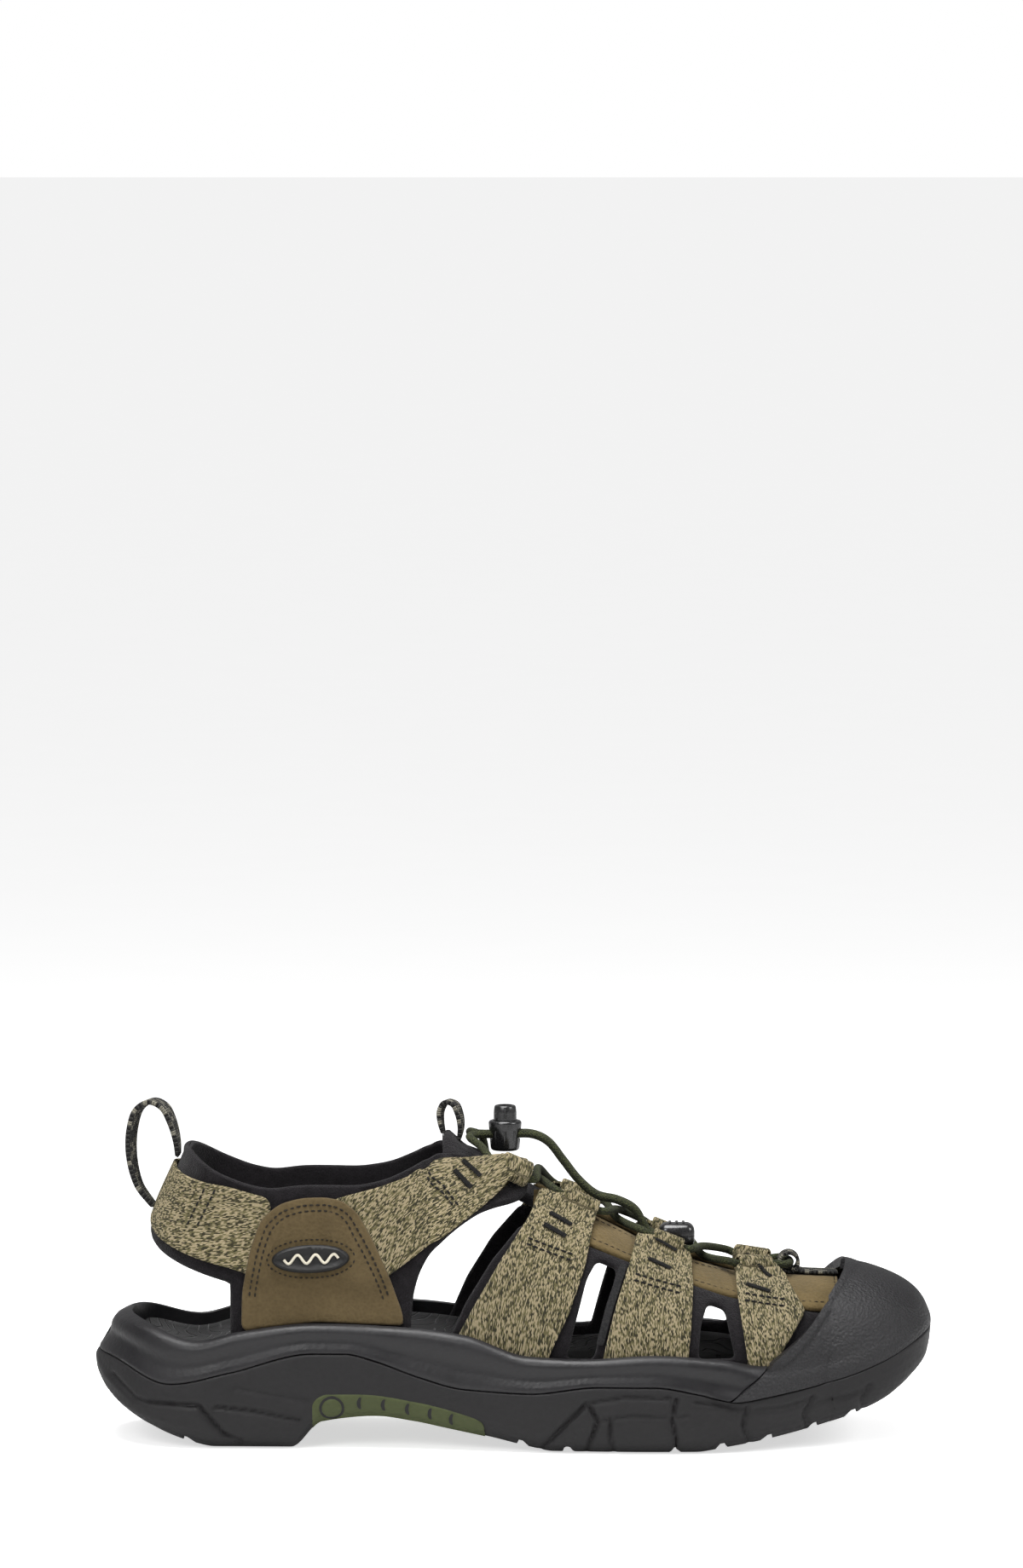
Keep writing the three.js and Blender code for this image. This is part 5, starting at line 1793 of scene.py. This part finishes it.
def lock_button():
    """The lock's button: a slotted stem in the barrel under a grooved head."""
    neck = LOCK_TOP + 2.0
    piece = tube_block("Cord_lock_button", STEM, CORD_Z - CORD_HOLE - 0.7, neck + 0.5, LOCK_STATION)
    head = tube_block("head", 4.2, neck, neck + 3.4, LOCK_STATION, taper=0.9)
    soften(head, 0.7)
    combine(piece, head, "UNION")
    dimple = tube_block("dimple", 2.6, neck + 2.9, neck + 5, LOCK_STATION)
    combine(piece, dimple, "DIFFERENCE")
    for turn in range(8):
        angle = turn * math.pi / 4
        groove = tube_block(
            "groove", 0.45, neck - 1, neck + 2.6, LOCK_STATION + 4.2 * math.cos(angle),
            4.2 * math.sin(angle), 12,
        )
        combine(piece, groove, "DIFFERENCE")
    slot_top = CORD_Z + CORD_HOLE + 1.7
    middle = (slot_top + CORD_Z - CORD_HOLE) / 2
    slot = block("slot", LOCK_STATION, 0, middle, (20, 2 * SLOT - 0.2, slot_top - CORD_Z + CORD_HOLE))
    combine(piece, slot, "DIFFERENCE")
    complete(piece, "lock_button", "lock_button")


def clip_half(name, node, upper):
    """Half of the clip on the cord's ends, split at the cords' level."""
    clip_z = float(ridge(CLIP_STATION)) + CLIP_RISE
    piece = block(name, CLIP_STATION, 0, clip_z, (12.8, 9.8, 8.9))
    soften(piece, 3.0, 6)
    cut = clip_z + (-5.0 + GAP / 2 if upper else 5.0 - GAP / 2)
    away = block("away", CLIP_STATION, 0, cut, (20, 20, 10))
    combine(piece, away, "DIFFERENCE")
    for side in (-1, 1):
        hole = bar("hole", CORD_HOLE, CLIP_STATION - 5.5, side * CORD_SPACING / 2, clip_z, 13)
        combine(piece, hole, "DIFFERENCE")
    mouth = block("mouth", CLIP_STATION - 8.3, 0, clip_z, (7.4, 2 * SLOT, 2 * CORD_HOLE))
    combine(piece, mouth, "DIFFERENCE")
    if upper:
        for station in (CLIP_STATION - 2.4, CLIP_STATION, CLIP_STATION + 2.4):
            rib = block("rib", station, 0, clip_z + 4.5, (1.0, 5.6, 0.7))
            soften(rib, 0.25, 2)
            combine(piece, rib, "UNION")
    complete(piece, node, "root")


lock_barrel()
lock_button()
clip_half("Cord_clip_lower_half", "cord_clip_base", False)
clip_half("Cord_clip_upper_half", "cord_clip_cap", True)

# ------------------------------------------------------------------ the floor, the lights and the camera

for node, finish in (("insole_board", BOARD), ("lock_spring", STEEL)):
    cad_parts[node].data.materials.clear()
    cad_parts[node].data.materials.append(finish)

paper = Finish("Pale paper floor", roughness=0.95, specular=0.0)
paper.colour(paper.mix(paper.noise(paper.place(), 0.02, 3), paint(228, 228, 228), paint(232, 232, 232)))
seen = paper.node("ShaderNodeLightPath", output="Is Camera Ray")
glow = paper.mix(seen, (0.12, 0.12, 0.12, 1), (0.62, 0.62, 0.62, 1))
paper.tree.links.new(glow.socket, paper.shader.inputs["Emission Color"])
paper.shader.inputs["Emission Strength"].default_value = 1.0
bpy.ops.mesh.primitive_plane_add(size=60, location=(0, 0, -0.0005))
floor = bpy.context.active_object
floor.name = "Floor"
floor.data.materials.append(paper.material)

world = bpy.data.worlds.new("Soft room")
bpy.context.scene.world = world
world.use_nodes = True
nodes, links = world.node_tree.nodes, world.node_tree.links
rays = nodes.new("ShaderNodeLightPath")
strength = nodes.new("ShaderNodeMapRange")
strength.inputs["To Min"].default_value = 0.34
strength.inputs["To Max"].default_value = 1.0
links.new(rays.outputs["Is Camera Ray"], strength.inputs["Value"])
nodes["Background"].inputs["Color"].default_value = (1, 1, 1, 1)
links.new(strength.outputs["Result"], nodes["Background"].inputs["Strength"])


def area_light(name, place, aim, size, power):
    bpy.ops.object.light_add(type="AREA", location=place)
    lamp = bpy.context.active_object
    lamp.name = name
    lamp.data.size = size
    lamp.data.energy = power
    lamp.rotation_euler = (Vector(aim) - Vector(place)).to_track_quat("-Z", "Y").to_euler()


area_light("Overhead softbox", (0.0, -0.15, 0.85), (0.09, 0, 0.05), 0.55, 11)
area_light("Front softbox", (-0.45, -1.0, 0.75), (0.09, 0, 0.05), 0.5, 7)
area_light("Toe side softbox", (0.9, -0.35, 0.6), (0.09, 0, 0.05), 0.4, 5)

CAMERA_TARGET = Vector((0.094, 0, 0.06))
CAMERA_RISE = math.radians(8)
CAMERA_PITCH = math.radians(-4.84)
CAMERA_DISTANCE = 3.12
back = Vector((0, -math.cos(CAMERA_RISE), math.sin(CAMERA_RISE)))
bpy.ops.object.camera_add(location=CAMERA_TARGET + back * CAMERA_DISTANCE)
camera = bpy.context.active_object
camera.rotation_euler = (math.pi / 2 + CAMERA_PITCH, 0, 0)
camera.data.lens = 200
camera.data.sensor_width = 36
camera.data.clip_end = 50
bpy.context.scene.camera = camera
bpy.context.scene.view_settings.view_transform = "Standard"
